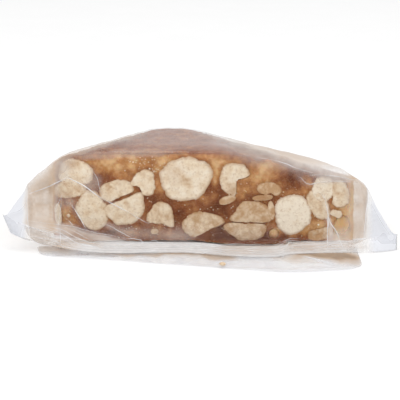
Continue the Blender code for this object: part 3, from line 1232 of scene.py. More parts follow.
def finer(grid: Array, counts: Sequence[int], around: bool) -> Array:
    """Splits the steps of a grid of points into straight finer steps.

    Args:
        grid: Rings of points.
        counts: How many steps each step becomes.
        around: True to split the closed rings, False to split from ring to ring.

    Returns:
        The finer grid.
    """
    source = np.swapaxes(grid, 0, 1) if around else grid
    lines = []
    for i, count in enumerate(counts):
        here = source[i]
        there = source[(i + 1) % len(source)]
        lines += [here + (there - here) * step / count for step in range(count)]
    if not around:
        lines.append(source[-1])
    result = np.array(lines)
    return np.swapaxes(result, 0, 1) if around else result


def curved(t: float, p: float, q: float, r: float, s: float) -> float:
    """Returns the value at share t of the way from q to r, on a smooth curve through four values."""
    bend = 2 * p - 5 * q + 4 * r - s
    return 0.5 * (2 * q + (r - p) * t + bend * t * t + (3 * q - p - 3 * r + s) * t**3)


def crease_points(crease: Crease, view: FrontView, surface: BVHTree, spacing: int = 6) -> Array:
    """Finds where a crease lies on the film.

    Args:
        crease: The crease, in places of the frame.
        view: The front view.
        surface: The film's surface in the row frame.
        spacing: Points for each stretch between two places.

    Returns:
        Points in millimetres in the brittle's frame.
    """
    places = [crease.places[0], *crease.places, crease.places[-1]]
    found = []
    for a, b, c, d in zip(places, places[1:], places[2:], places[3:]):
        for step in range(spacing):
            spot = [curved(step / spacing, *four) for four in zip(a, b, c, d)]
            hit, _, _, _ = surface.ray_cast(view.eye(), view.ray(*spot))
            if hit is not None:
                found.append(view.setting.own(hit))
    return np.array(found).reshape(-1, 3)


# ---------------------------------------------------------------- geometry nodes


def new_tree(name: str, **inputs: str) -> tuple[NodeBoard, bpy.types.NodeOutputs]:
    """Starts a geometry tree that makes geometry with a given finish.

    Args:
        name: The tree's name.
        **inputs: The kind of socket for each input besides Geometry and Material, by name.

    Returns:
        The board for its nodes, and the outputs that its inputs come in by.
    """
    tree = bpy.data.node_groups.new(name, "GeometryNodeTree")
    kinds = {"Geometry": "Geometry", **inputs, "Material": "Material"}
    for key, kind in kinds.items():
        tree.interface.new_socket(key, in_out="INPUT", socket_type="NodeSocket" + kind)
    tree.interface.new_socket("Geometry", in_out="OUTPUT", socket_type="NodeSocketGeometry")
    board = NodeBoard(tree)
    return board, board.add("NodeGroupInput").outputs


def finished_tree(board: NodeBoard, shape: Socket, material: Socket) -> Tree:
    """Makes a tree's geometry real, sets its finish and puts it out."""
    real = board.add("GeometryNodeRealizeInstances", {"Geometry": shape}).outputs[0]
    coated = board.add("GeometryNodeSetMaterial", {"Geometry": real, "Material": material}).outputs[0]
    board.add("NodeGroupOutput", {"Geometry": coated})
    return board.tree


def grown(host: Piece, tree: Tree, name: str, **values: object) -> Piece:
    """Runs a geometry tree on a host and keeps the result as a plain piece.

    Args:
        host: The object that carries the modifier for a moment.
        tree: The geometry tree.
        name: The new piece's name.
        **values: The tree's inputs by name.

    Returns:
        The new piece.
    """
    modifier = host.modifiers.new("grow", "NODES")
    modifier.node_group = tree
    for item in tree.interface.items_tree:
        if item.item_type == "SOCKET" and item.in_out == "INPUT" and item.name in values:
            modifier[item.identifier] = values[item.name]
    mesh = evaluated_mesh(host)
    mesh.name = name
    return linked(name, mesh)


def rib_tree() -> Tree:
    """Builds the tree that turns lines into thin round ribs whose radius each point carries.

    Returns:
        The tree, with inputs Sides, Thickness and Material.
    """
    board, source = new_tree("film_ribs", Sides="Int", Thickness="Float")
    curve = board.add("GeometryNodeMeshToCurve", {"Mesh": source["Geometry"]})
    circle = {"Resolution": source["Sides"], "Radius": source["Thickness"]}
    profile = board.add("GeometryNodeCurvePrimitiveCircle", circle)
    width = board.add("GeometryNodeInputNamedAttribute", {"Name": "width"}, data_type="FLOAT")
    inputs = {
        "Curve": curve.outputs["Curve"],
        "Profile Curve": profile.outputs["Curve"],
        "Scale": width.outputs["Attribute"],
        "Fill Caps": True,
    }
    sweep = board.add("GeometryNodeCurveToMesh", inputs)
    return finished_tree(board, sweep.outputs["Mesh"], source["Material"])


def grain_tree() -> Tree:
    """Builds the tree that scatters small grains over a surface, where its grain value says.

    Returns:
        The tree, with inputs Density, Size, Seed and Material.
    """
    board, source = new_tree("sugar_scatter", Density="Float", Size="Float", Seed="Int")
    share = board.add("GeometryNodeInputNamedAttribute", {"Name": "grain"}, data_type="FLOAT")
    density = board.maths("MULTIPLY", share.outputs["Attribute"], source["Density"])
    inputs = {"Mesh": source["Geometry"], "Density": density, "Seed": source["Seed"]}
    spread = board.add("GeometryNodeDistributePointsOnFaces", inputs, distribute_method="RANDOM")
    grain = board.add("GeometryNodeMeshIcoSphere", {"Subdivisions": 1, "Radius": source["Size"]})
    inputs = {"Min": (0.35, 0.35, 0.35), "Max": (1.2, 1.0, 0.8), "Seed": source["Seed"]}
    size = board.add("FunctionNodeRandomValue", inputs, data_type="FLOAT_VECTOR")
    inputs = {
        "Points": spread.outputs["Points"],
        "Rotation": spread.outputs["Rotation"],
        "Instance": grain.outputs["Mesh"],
        "Scale": size.outputs[0],
    }
    placed = board.add("GeometryNodeInstanceOnPoints", inputs)
    return finished_tree(board, placed.outputs["Instances"], source["Material"])


# ---------------------------------------------------------------- ribs on the film


@dataclass
class FilmRibs:
    """The bright edges of the film's creases, milky as film whitening and as a painted highlight, and the
    pressed lines of its front seal.

    Args:
        setting: The brittle's frame.
        film: The film tube.
        lip: The slack lip.
        crimp_places: Where the pressed lines run across the front seal, 0 to 1.
        crimp_width: Their radius in millimetres.
        crimp_span: Shares of the front seal between which they run.
        crimp_steps: How many points each has.
        sides: How many sides a rib has.
        proud: How far a rib's middle stands out of the film, in millimetres.
        milkiness: How milky the ribs are on average.
    """

    setting: BrittleFrame
    film: FilmTube
    lip: "SlackLip"
    crimp_places: tuple[float, ...] = (0.03, 0.20, 0.38, 0.58, 0.78, 0.95)
    crimp_width: float = 0.055
    crimp_span: Pair = (-0.80, 0.80)
    crimp_steps: int = 170
    sides: int = 6
    proud: float = 0.03
    milkiness: float = 0.58

    def line_mesh(self, name: str, lines: list[tuple[Array, Array]]) -> Piece:
        """Makes a mesh of loose lines whose points carry a width, in metres."""
        points, widths, edges = [], [], []
        for line, width in lines:
            start = len(points)
            points += list(line)
            widths += list(width)
            edges += [(start + i, start + i + 1) for i in range(len(line) - 1)]
        mesh = bpy.data.meshes.new(name)
        mesh.from_pydata(self.setting.placed(np.array(points)).tolist(), edges, [])
        carry(mesh, width=widths)
        return linked(name, mesh)

    def laid_on(self, surface: BVHTree, points: Array) -> Array:
        """Moves points onto a surface, a little proud of it."""
        moved = []
        for point in self.setting.placed(points):
            spot, normal, _, _ = surface.find_nearest(Vector(point))
            moved.append(self.setting.own(spot + normal * self.proud * MM))
        return np.array(moved)

    def crease_lines(self, view: FrontView) -> list[tuple[Array, Array]]:
        """Returns the points and widths of each crease of the film and of the lip."""
        lines = []
        found = [(crease, self.film.surface, self.film.lines[crease.name]) for crease in self.film.creases]
        for crease in LIP_CREASES:
            found.append((crease, self.lip.surface, crease_points(crease, view, self.lip.surface)))
        for crease, surface, line in found:
            if len(line) < 3:
                continue
            share = np.linspace(0.0, 1.0, len(line))
            ends = np.minimum(share, 1.0 - share) / max(crease.fade, 0.01)
            width = crease.width * (0.25 + 0.75 * np.clip(ends, 0.0, 1.0))
            wobble = 1.0 + 0.35 * roughness_at(line, 4.0, 7.0, 2)
            lines.append((self.laid_on(surface, line), width * wobble))
        return lines

    def crimp_lines(self) -> list[tuple[Array, Array]]:
        """Returns the pressed lines along the front seal."""
        lines = []
        for number, across in enumerate(self.crimp_places):
            shares = np.linspace(*self.crimp_span, self.crimp_steps)
            line = np.array([self.film.front_seal(share, across) for share in shares])
            drift = roughness_at(line + number * 3.0, 11.0, 3.0 + number, 3)
            places = across + 0.20 * drift
            line = np.array([self.film.front_seal(*place) for place in zip(shares, places)])
            swell = 0.45 + 2.2 * roughness_at(line, 6.0, 5.0 + number, 2)
            width = self.crimp_width * np.clip(swell, 0.03, 1.5)
            lines.append((self.laid_on(self.film.surface, line + np.array((0.0, 0.0, 1.0))), width))
        return lines

    def build(self, view: FrontView, material: Material) -> list[Piece]:
        """Builds the crease ribs and the seal's ribs.

        Args:
            view: The front view that the creases are given in.
            material: The ribs' finish.

        Returns:
            The two pieces.
        """
        tree = rib_tree()
        pieces = []
        for name, lines in (("crease_ribs", self.crease_lines(view)), ("seal_ribs", self.crimp_lines())):
            host = self.line_mesh(name + "_lines", lines)
            piece = grown(host, tree, name, Sides=self.sides, Thickness=MM, Material=material)
            bpy.data.objects.remove(host)
            spots = self.setting.own(points_of(piece.data))
            bright = self.milkiness * (0.75 + 0.9 * roughness_at(spots, 5.0, 9.0, 2))
            carry(piece.data, haze=np.clip(bright, 0.05, 0.9), tint=np.zeros(len(spots)))
            turned_outwards(piece)
            pieces.append(dressed(piece))
        return pieces


# ---------------------------------------------------------------- slack lip


@dataclass
class SlackLip:
    """The slack film from the underside, which lies on the table in front of the seal.

    Args:
        setting: The brittle's frame.
        outline: X and Y of its corners in millimetres, each with its radius.
        middle: X and Y that its rings close in on.
        arc_steps: Steps round each corner.
        rings: Rings from its middle to its rim.
        rim: Points round its rim.
        thickness: Its thickness in millimetres.
        rest: Height of its lowest ripples over the table.
        ripple: Height of its ripples.
        base_haze: Haze before its washes.
        base_tint: Tint before its washes.
        seed: Picks its ripples.
    """

    setting: BrittleFrame
    outline: tuple[tuple[Pair, float], ...] = (
        ((41.8, -4.6), 1.0), ((42.4, -26.2), 6.0), ((23.5, -30.2), 30.0),
        ((-30.0, -16.0), 20.0), ((-42.3, -13.8), 6.0), ((-43.9, -4.6), 1.0),
    )
    middle: Pair = (0.0, -9.0)
    arc_steps: int = 12
    rings: int = 34
    rim: int = 320
    thickness: float = 0.12
    rest: float = 0.30
    ripple: float = 0.26
    base_haze: float = 0.26
    base_tint: float = 0.02
    seed: float = 4.0

    def corners(self) -> Array:
        """Returns the outline with an arc at each corner."""
        points = []
        for i, (corner, radius) in enumerate(self.outline):
            here = Vector(corner)
            before = (Vector(self.outline[i - 1][0]) - here).normalized()
            after = (Vector(self.outline[(i + 1) % len(self.outline)][0]) - here).normalized()
            half_angle = before.angle(after) / 2.0
            reach = radius / math.tan(half_angle)
            centre = here + (before + after).normalized() * (radius / math.sin(half_angle))
            start, end = here + before * reach, here + after * reach
            for step in range(self.arc_steps + 1):
                spoke = (start - centre).lerp(end - centre, step / self.arc_steps).normalized()
                points.append(centre + spoke * radius)
        return np.array([tuple(p) for p in points])

    def rim_points(self) -> Array:
        """Returns evenly spaced points round the outline."""
        corners = self.corners()
        closed = np.vstack((corners, corners[:1]))
        steps = np.linalg.norm(np.diff(closed, axis=0), axis=1)
        run = np.concatenate(((0.0,), np.cumsum(steps)))
        wanted = np.linspace(0.0, run[-1], self.rim, endpoint=False)
        return np.stack([np.interp(wanted, run, closed[:, axis]) for axis in range(2)], axis=1)

    def build(self, view: FrontView, material: Material) -> Piece:
        """Builds the lip as a thin closed sheet with low ripples.

        Args:
            view: The front view that its washes of haze and painted brown reflection are given in.
            material: The film's finish.

        Returns:
            The lip.
        """
        rim = self.rim_points()
        middle = np.array(self.middle)
        shares = [1.0 - (1.0 - i / self.rings) ** 1.4 for i in range(1, self.rings + 1)]
        flat = [middle + (rim - middle) * share for share in shares]
        plan = np.vstack([middle[None, :], *flat])
        spread = np.concatenate(((0.0,), np.repeat(shares, self.rim)))
        points = np.column_stack((plan, np.zeros(len(plan))))
        ripple = roughness_at(points * np.array((1.0, 2.2, 1.0)), 9.0, self.seed, 3)
        to_rim = np.clip((1.02 - spread) * 12.0, 0.15, 1.0)
        height = self.rest + self.ripple * np.clip(0.5 + ripple, 0.0, 1.3) * to_rim
        upper = np.column_stack((plan, height))
        lower = np.column_stack((plan, height - self.thickness))
        count = len(plan)
        faces = []
        for side, flip in ((0, False), (count, True)):
            for j in range(self.rim):
                k = (j + 1) % self.rim
                fan = (side, side + 1 + j, side + 1 + k)
                faces.append(fan[::-1] if flip else fan)
                for i in range(self.rings - 1):
                    a, b = side + 1 + i * self.rim, side + 1 + (i + 1) * self.rim
                    quad = (a + j, b + j, b + k, a + k)
                    faces.append(quad[::-1] if flip else quad)
        edge = 1 + (self.rings - 1) * self.rim
        faces += band(edge, count + edge, self.rim)
        both = np.vstack((upper, lower))
        more_haze, more_tint = washed(LIP_WASHES, view.seen(self.setting.placed(both)))
        haze = np.clip(self.base_haze + more_haze, 0.0, 0.95)
        tint = np.clip(self.base_tint + more_tint, 0.0, 0.70)
        piece = mesh_piece("slack_lip", self.setting.placed(both), faces, material, haze=haze, tint=tint)
        turned_outwards(piece)
        self.surface = surface_of(piece.data)
        return dressed(piece)


# ---------------------------------------------------------------- the brittle


KERNEL_ROUNDNESS = 2.25  # 2 for an ellipse, more for a boxier outline
KERNEL_ROUGHNESS = 0.065  # height of the large bumps on an outline, as a share of its size
KERNEL_RAGGEDNESS = 0.24  # height of the small bumps on a large kernel's outline, in millimetres
KERNEL_DEPTH = 4.8  # how far a large kernel's body runs back, in millimetres
FACE_RINGS = 10  # rings of the profile that lie on the cut face
RIM_START = 0.86  # share of the outline where the caramel's colour starts
# Each ring's share of the outline and its depth behind the face in millimetres.
KERNEL_RINGS = (
    (0.12, 0.0), (0.25, 0.0), (0.38, 0.0), (0.5, 0.0), (0.62, 0.0), (0.73, 0.0), (0.83, 0.0), (0.9, 0.01),
    (0.95, 0.05), (0.985, 0.13), (1.01, 0.45), (1.0, 1.4), (0.92, 2.6), (0.75, 3.8), (0.45, 4.6),
)


class KernelKind(Enum):
    """How a kernel shows on a face."""

    CUT = "cut"
    COATED = "coated"


@dataclass(frozen=True)
class Kernel:
    """A peanut kernel that shows on a face.

    Args:
        name: What it is.
        across: Its middle along the face, in millimetres.
        height: Its middle above the foot.
        half_width: Half of its width.
        half_height: Half of its height.
        lean: Degrees by which it leans, anticlockwise as seen from outside.
        tone: 0 for tan, 0.5 for cream and 1 for pale.
        flats: Straight sides, as a direction in degrees and a distance from the middle.
        bites: Round notches, as a direction, a distance from the middle and a radius.
        peaks: Pointed places, as a direction, an amount and a width in degrees.
        hollow: A hollow in the face: across, height, radius and depth.
        smear: Caramel smeared on the face: across, height, radius and strength.
        kind: Cut through, or coated with caramel.
    """

    name: str
    across: float
    height: float
    half_width: float
    half_height: float
    lean: float = 0.0
    tone: float = 0.5
    flats: tuple[Pair, ...] = ()
    bites: tuple[Triple, ...] = ()
    peaks: tuple[Triple, ...] = ()
    hollow: Mark = (0.0, 0.0, 1.0, 0.0)
    smear: Mark = (0.0, 0.0, 1.0, 0.0)
    kind: KernelKind = KernelKind.CUT

    def outline(self, count: int, seed: float) -> Array:
        """Returns the distance from the middle to the edge at evenly spaced directions."""
        angle = np.linspace(0.0, 2.0 * math.pi, count, endpoint=False)
        turned = angle - math.radians(self.lean)
        across = np.abs(np.cos(turned) / self.half_width) ** KERNEL_ROUNDNESS
        upright = np.abs(np.sin(turned) / self.half_height) ** KERNEL_ROUNDNESS
        reach = (across + upright) ** (-1.0 / KERNEL_ROUNDNESS)
        for direction, distance in self.flats:
            facing = np.cos(angle - math.radians(direction))
            reach = np.where(facing > 0.05, np.minimum(reach, distance / np.maximum(facing, 0.05)), reach)
        for direction, distance, radius in self.bites:
            swing = angle - math.radians(direction)
            inside = radius**2 - (distance * np.sin(swing)) ** 2
            near = distance * np.cos(swing) - np.sqrt(np.maximum(inside, 0.0))
            hit = (inside > 0.0) & (np.cos(swing) > 0.0)
            reach = np.where(hit, np.minimum(reach, np.maximum(near, 0.4)), reach)
        for direction, amount, width in self.peaks:
            swing = (angle - math.radians(direction) + math.pi) % (2.0 * math.pi) - math.pi
            reach = reach * (1.0 + amount * bell(swing, math.radians(width)))
        around = np.column_stack((np.cos(angle), np.sin(angle), np.zeros(count)))
        for _ in range(2):
            reach = reach * 0.6 + (np.roll(reach, 1) + np.roll(reach, -1)) * 0.2
        size = (self.half_width + self.half_height) / 2.0
        rough = KERNEL_ROUGHNESS * size * roughness_at(around * 2.0, 1.3, seed, 3)
        ragged = KERNEL_RAGGEDNESS * min(1.0, size / 3.0) * roughness_at(around * size, 0.9, seed + 2.0, 3)
        return reach + rough + ragged


CUT_KERNELS = (
    Kernel(
        "broad", -3.6, 17.7, 7.4, 6.1, 4.0, 0.74,
        flats=((-31.0, 6.1),), hollow=(0.2, -1.2, 1.5, 0.35), smear=(-3.2, 1.6, 3.2, 0.50),
    ),
    Kernel("round", 25.3, 7.8, 5.0, 5.8, 12.0, 1.0, flats=((-50.0, 4.9),), peaks=((214.0, 0.05, 20.0),)),
    Kernel("split_top", 13.4, 6.2, 6.2, 5.5, 2.0, 0.18, flats=((-91.0, 0.5), (140.0, 4.8))),
    Kernel("split_low", 12.5, 4.5, 5.9, 4.4, 0.0, 0.20, flats=((88.0, 0.85), (-132.0, 4.5))),
    Kernel(
        "hook", 9.4, 17.7, 4.2, 4.4, -12.0, 0.56,
        bites=((-38.0, 2.7, 1.95),), peaks=((-88.0, 0.18, 16.0), (16.0, 0.05, 18.0), (124.0, 0.10, 22.0)),
        smear=(-0.4, -3.8, 2.2, 0.9),
    ),
    Kernel("hook_scrap", 7.4, 11.9, 2.4, 1.1, 20.0, 0.20),
    Kernel(
        "crescent", -15.5, 16.8, 2.9, 3.9, -36.0, 0.62,
        bites=((-128.0, 4.4, 2.6),), peaks=((-55.0, 0.44, 24.0), (-22.0, 0.22, 16.0)),
        smear=(0.0, 3.4, 1.5, 0.3),
    ),
    Kernel(
        "dome", -10.9, 7.7, 3.7, 3.7, 0.0, 0.34,
        flats=((-98.0, 2.5), (142.0, 2.8)), peaks=((-42.0, 0.34, 16.0),),
    ),
    Kernel(
        "leaf", 0.4, 5.2, 5.4, 3.6, 12.0, 0.24,
        flats=((-61.0, 2.5), (74.0, 3.5)), peaks=((2.0, 0.24, 15.0),), smear=(-4.8, -1.0, 1.6, 0.6),
    ),
    Kernel(
        "slant_top", -22.2, 14.4, 4.7, 3.1, 6.0, 0.52,
        flats=((-66.0, 1.9),), peaks=((200.0, 0.15, 24.0),), smear=(0.2, 2.6, 1.6, 0.45),
    ),
    Kernel(
        "slant_low", -20.7, 9.7, 5.8, 4.9, 14.0, 0.62,
        flats=((112.0, 2.3), (-138.0, 5.0)), peaks=((42.0, 0.22, 14.0),), hollow=(0.6, 1.4, 0.7, 0.35),
    ),
    Kernel("oval", -29.4, 9.1, 4.1, 5.8, 24.0, 0.62, flats=((158.0, 4.3),)),
    Kernel(
        "upper_left", -33.6, 19.2, 4.9, 4.0, -10.0, 0.62,
        flats=((-78.0, 3.5),), smear=(-1.0, 2.8, 1.9, 1.0),
    ),
    Kernel("lower_left", -34.9, 15.0, 4.6, 2.5, 10.0, 0.40, flats=((80.0, 2.0),)),
    Kernel("edge_strip", -38.45, 8.0, 1.0, 3.2, 4.0, 0.80),
    Kernel("right_pair", 33.2, 14.9, 3.0, 3.6, 0.0, 0.80),
    Kernel("right_outer", 37.6, 13.6, 2.9, 4.0, 12.0, 0.56, flats=((180.0, 1.9),)),
    Kernel("right_slant", 32.0, 10.4, 2.5, 4.6, 30.0, 0.50),
    Kernel("right_small", 36.8, 8.0, 1.8, 1.2, -10.0, 0.55, flats=((-120.0, 0.9),)),
    Kernel("sliver", 19.3, 8.9, 0.9, 2.7, 6.0, 0.22),
    Kernel("torn_low", 16.9, 12.5, 2.9, 0.8, 4.0, 0.0, smear=(0.0, 0.0, 3.0, 1.0)),
    Kernel("torn", 18.6, 14.9, 3.4, 1.9, -8.0, 0.02, bites=((-80.0, 2.4, 1.2),)),
    Kernel("crumb", -12.3, 3.1, 1.1, 0.8, 0.0, 0.2),
    Kernel("end_amber", 38.6, 4.4, 2.5, 3.3, 8.0, 0.95, kind=KernelKind.COATED),
    Kernel("small_amber", 20.0, 2.4, 1.6, 1.6, 0.0, kind=KernelKind.COATED),
    Kernel("low_tan", 32.8, 2.5, 3.7, 1.8, 12.0, 0.10, flats=((104.0, 1.4),), smear=(-2.2, 0.2, 1.8, 0.6)),
)


@dataclass(frozen=True)
class Face:
    """An upright face of the brittle.

    Args:
        start: Its left foot as seen from outside, X and Y.
        end: Its right foot.
    """

    start: Pair
    end: Pair

    def along(self) -> Array:
        """Returns the unit direction along the face."""
        way = np.array((self.end[0] - self.start[0], self.end[1] - self.start[1], 0.0))
        return way / np.linalg.norm(way)

    def outward(self) -> Array:
        """Returns the unit direction out of the face."""
        way = self.along()
        return np.array((way[1], -way[0], 0.0))

    def length(self) -> float:
        """Returns the face's length."""
        return math.dist(self.start, self.end)

    def placed(self, across: Array, height: Array, out: Array, origin: float = 0.0) -> Array:
        """Returns points from their place across, their height and their distance out of the face."""
        foot = np.array((self.start[0], self.start[1], 0.0)) + self.along() * origin
        up = np.array((0.0, 0.0, 1.0))
        return foot + np.outer(across, self.along()) + np.outer(height, up) + np.outer(out, self.outward())


@dataclass(frozen=True)
class PlacedKernel:
    """A kernel in its place on a face.

    Args:
        kernel: The kernel.
        face: The face it shows on.
        origin: Where the kernel's place is measured from, along the face.
        seed: Picks its roughness.
        sides: How many steps go round it.
    """

    kernel: Kernel
    face: Face
    origin: float
    seed: float
    sides: int

    def reach(self) -> Array:
        """Returns the distance from its middle to its edge at evenly spaced directions."""
        return self.kernel.outline(self.sides, self.seed)

    def gap(self, points: Array) -> Array:
        """Returns how far points lie outside its edge along the face, negative inside it, in millimetres."""
        start = np.array((*self.face.start, 0.0))
        local = points - start
        across = local @ self.face.along() - self.origin - self.kernel.across
        height = points[:, 2] - self.kernel.height
        angle = np.arctan2(height, across) % (2.0 * math.pi)
        steps = np.linspace(0.0, 2.0 * math.pi, self.sides + 1)
        reach = self.reach()
        edge = np.interp(angle, steps, np.append(reach, reach[0]))
        off_face = np.abs(local @ self.face.outward()) > 1.0
        return np.where(off_face, 99.0, np.hypot(across, height) - edge)


def marked(mark: Mark, across: Array, height: Array) -> Array:
    """Returns how strong a round mark is at places on a face, given by its middle, radius and strength."""
    x, z, radius, strength = mark
    return strength * np.exp(-((across - x) ** 2 + (height - z) ** 2) / radius**2)


def face_spots(deep: float, *rows: tuple[float, ...]) -> tuple[Patch, ...]:
    """Makes spots on the cut side from their X and Z, their reach along X and Z, and their amount."""
    return tuple(Patch((x, 0.6, z), (wide, deep, high), amount) for x, z, wide, high, amount in rows)


@dataclass
class Brittle:
    """The triangular piece of brittle: its caramel and the kernels in it.

    Args:
        setting: The brittle's frame.
        film: The film that everything has to lie inside.
        corner_left: X and Y of the cut side's left foot, in millimetres.
        corner_right: X and Y of its right foot.
        corner_rear: X and Y of the rear corner's foot.
        top_profile: X and Z along the cut side's top edge.
        rear_height: Z of the top at the rear corner.
        foot_height: Z of the underside.
        foot_run: How far the caramel has run out at the foot, at some X.
        foot_run_height: Height of the caramel that has run out.
        voxel: Size of the caramel's faces.
        recess: How deep the caramel lies between the kernels.
        bed_depth: How deep it lies under them.
        base_glow: Its glow before its spots.
        clearance: The least gap between the food and the film.
        corner_margin: Least gap from a kernel on a slanted side to the side's ends.
        places: Every kernel in its place, once they are laid out.
        seed: Picks the kernels on the slanted sides.
        tries: How often a place for one is tried.
        side_kernels: How many kernels are wanted for each slanted side.
        side_widths: Least and most half width of one, in millimetres.
        side_shapes: Least and most height of one, as a share of its width.
        side_tones: Least and most tone of one.
        side_lean: The most degrees by which one leans.
        flat_share: Share of them with a straight side.
        coated_share: Share of them that caramel covers.
        cut_sides: Steps round a kernel on the cut side.
        side_sides: Steps round one on a slanted side.
        crumbs: Middle, reach and tone of each loose crumb.
        painted_light_spots: Places of painted golden light and of painted shade on the caramel.
        top_shade: How much darker its top is.
        grain_spots: Where sugar grains lie.
        grain_density: Grains a square metre where they are thickest.
        grain_size: A grain's radius in metres.
        grain_seed: Picks their places.
    """

    setting: BrittleFrame
    film: FilmTube
    corner_left: Pair = (-40.2, 0.3)
    corner_right: Pair = (42.1, 0.3)
    corner_rear: Pair = (-7.8, 32.6)
    top_profile: tuple[Pair, ...] = (
        (-40.2, 23.4), (-36.0, 24.4), (-27.0, 25.9), (8.0, 25.7), (21.6, 23.2), (28.6, 21.4), (42.1, 18.4),
    )
    rear_height: float = 26.6
    foot_height: float = 0.15
    foot_run: tuple[Pair, ...] = ((-4.0, 0.0), (1.0, 0.6), (7.0, 4.0), (22.6, 4.2), (24.0, 0.0))
    foot_run_height: float = 0.50
    voxel: float = 0.42
    recess: float = 0.30
    bed_depth: float = 2.2
    base_glow: float = 0.50
    clearance: float = 0.15
    corner_margin: float = 6.4
    places: list[PlacedKernel] = field(default_factory=list)
    seed: int = 23
    tries: int = 900
    side_kernels: int = 22
    side_widths: Pair = (2.4, 5.6)
    side_shapes: Pair = (0.62, 0.95)
    side_tones: Pair = (0.35, 0.9)
    side_lean: float = 60.0
    flat_share: float = 0.4
    coated_share: float = 0.2
    cut_sides: int = 72
    side_sides: int = 44
    crumbs: tuple[tuple[Triple, Triple, float], ...] = (
        ((5.9, -24.3, 0.95), (0.80, 0.60, 0.45), 0.30),
        ((-35.6, 0.35, 7.6), (0.50, 0.45, 0.50), 0.80),
        ((32.1, 0.35, 5.0), (0.26, 0.25, 0.26), 1.0),
        ((-18.0, 0.35, 22.4), (0.20, 0.20, 0.16), 1.0),
        ((-13.6, 0.30, 20.6), (0.22, 0.20, 0.20), 1.0),
        ((-12.4, 0.30, 19.8), (0.18, 0.20, 0.22), 1.0),
    )
    # Painted golden light where light comes through, and painted shade in hollows and at the foot.
    painted_light_spots: tuple[Patch, ...] = (
        *face_spots(
            3.0,
            (-21.3, 22.0, 7.0, 3.2, 0.42), (-27.0, 21.0, 3.0, 2.4, 0.12), (-9.2, 22.8, 2.8, 1.9, 0.42),
            (0.4, 23.6, 3.0, 1.2, 0.34), (6.8, 22.1, 2.6, 1.3, 0.40), (27.8, 3.0, 1.8, 1.6, 0.40),
            (-12.9, 13.2, 1.2, 1.0, 0.26), (38.8, 1.6, 3.0, 2.0, 0.34), (38.8, 9.6, 2.4, 2.0, 0.20),
            (19.0, 21.4, 3.0, 1.8, 0.34), (-10.8, 15.4, 1.5, 2.4, 0.34), (27.8, 13.6, 1.6, 1.4, 0.28),
            (-23.8, 2.6, 3.4, 1.2, -0.40), (5.4, 13.4, 1.2, 1.8, -0.40), (16.5, 18.0, 6.0, 3.4, 0.38),
            (36.5, 6.0, 5.0, 4.5, 0.30),
        ),
        Patch((40.2, 1.0, 13.5), (2.4, 4.0, 5.0), 0.60),
        Patch((41.4, 1.0, 6.0), (1.6, 4.0, 3.4), 0.30),
        *face_spots(
            3.0,
            (31.0, 4.4, 4.4, 2.6, 0.32), (25.6, 2.2, 1.6, 1.4, 0.30), (29.5, 15.8, 2.0, 1.6, 0.24),
            (-36.4, 7.0, 2.4, 4.5, 0.30), (3.5, 16.7, 1.6, 1.8, 0.26), (37.6, 1.4, 4.0, 1.6, 0.24),
            (4.2, 19.5, 1.6, 4.0, 0.30), (2.2, 12.6, 3.4, 1.4, 0.14), (-4.4, 11.0, 2.2, 1.2, 0.16),
            (21.2, 3.4, 1.6, 1.6, 0.28), (19.7, 6.6, 1.2, 1.2, 0.24), (10.0, 14.2, 1.8, 1.8, 0.26),
            (-11.6, 19.0, 1.4, 3.4, 0.12), (-27.4, 16.6, 1.8, 2.6, -0.26), (-25.6, 19.0, 4.0, 1.4, -0.12),
            (-12.0, 12.2, 3.4, 2.0, -0.32), (-6.0, 7.6, 2.6, 3.4, -0.34), (2.6, 15.2, 2.0, 1.6, -0.36),
            (24.6, 18.0, 4.0, 2.6, -0.44), (5.0, 9.2, 4.0, 2.2, -0.44), (5.2, 3.4, 2.0, 2.4, -0.50),
            (28.0, 1.6, 2.0, 1.6, -0.30), (9.5, 0.8, 20.0, 1.6, -0.30), (-30.0, 3.4, 6.0, 1.4, -0.16),
            (17.0, 12.2, 3.2, 1.6, -0.20),
        ),
    )
    top_shade: float = -0.14
    grain_spots: tuple[Patch, ...] = face_spots(
        2.0,
        (-13.2, 21.5, 4.2, 2.4, 0.55), (-34.0, 11.5, 3.0, 3.5, 0.25), (22.0, 13.5, 6.0, 3.0, 0.22),
        (6.0, 8.0, 30.0, 6.0, 0.10),
    )
    grain_density: float = 3.2e6
    grain_size: float = 0.0002
    grain_seed: int = 5

    def faces(self) -> tuple[Face, Face, Face]:
        """Returns the cut side and the two slanted sides, each from its left foot as seen from outside."""
        return (
            Face(self.corner_left, self.corner_right),
            Face(self.corner_right, self.corner_rear),
            Face(self.corner_rear, self.corner_left),
        )

    def prism(self, material: Material) -> Piece:
        """Makes the plain three-sided block."""
        front = [(x, self.corner_left[1], z) for x, z in self.top_profile]
        rear = (*self.corner_rear, self.rear_height)
        top = [*front, rear]
        bottom = [(x, y, self.foot_height) for x, y, _ in top]
        count = len(top)
        faces = [tuple(range(count)), tuple(range(2 * count - 1, count - 1, -1))]
        faces += band(0, count, count)
        points = self.setting.placed(np.array(top + bottom))
        block = mesh_piece("caramel_block", points, faces, material)
        turned_outwards(block)
        return block

    def tucked(self, points: Array, clearance: float) -> Array:
        """Moves points that come too close to the film back inside it.

        Args:
            points: Points in metres in the row frame.
            clearance: The least gap in millimetres.

        Returns:
            The moved points.
        """
        moved = points.copy()
        gap = clearance * MM
        for i, point in enumerate(points):
            spot, normal, _, distance = self.film.surface.find_nearest(Vector(point))
            if distance < 4.0 * MM and (Vector(point) - spot).dot(normal) > -gap:
                moved[i] = spot - normal * gap
        return moved

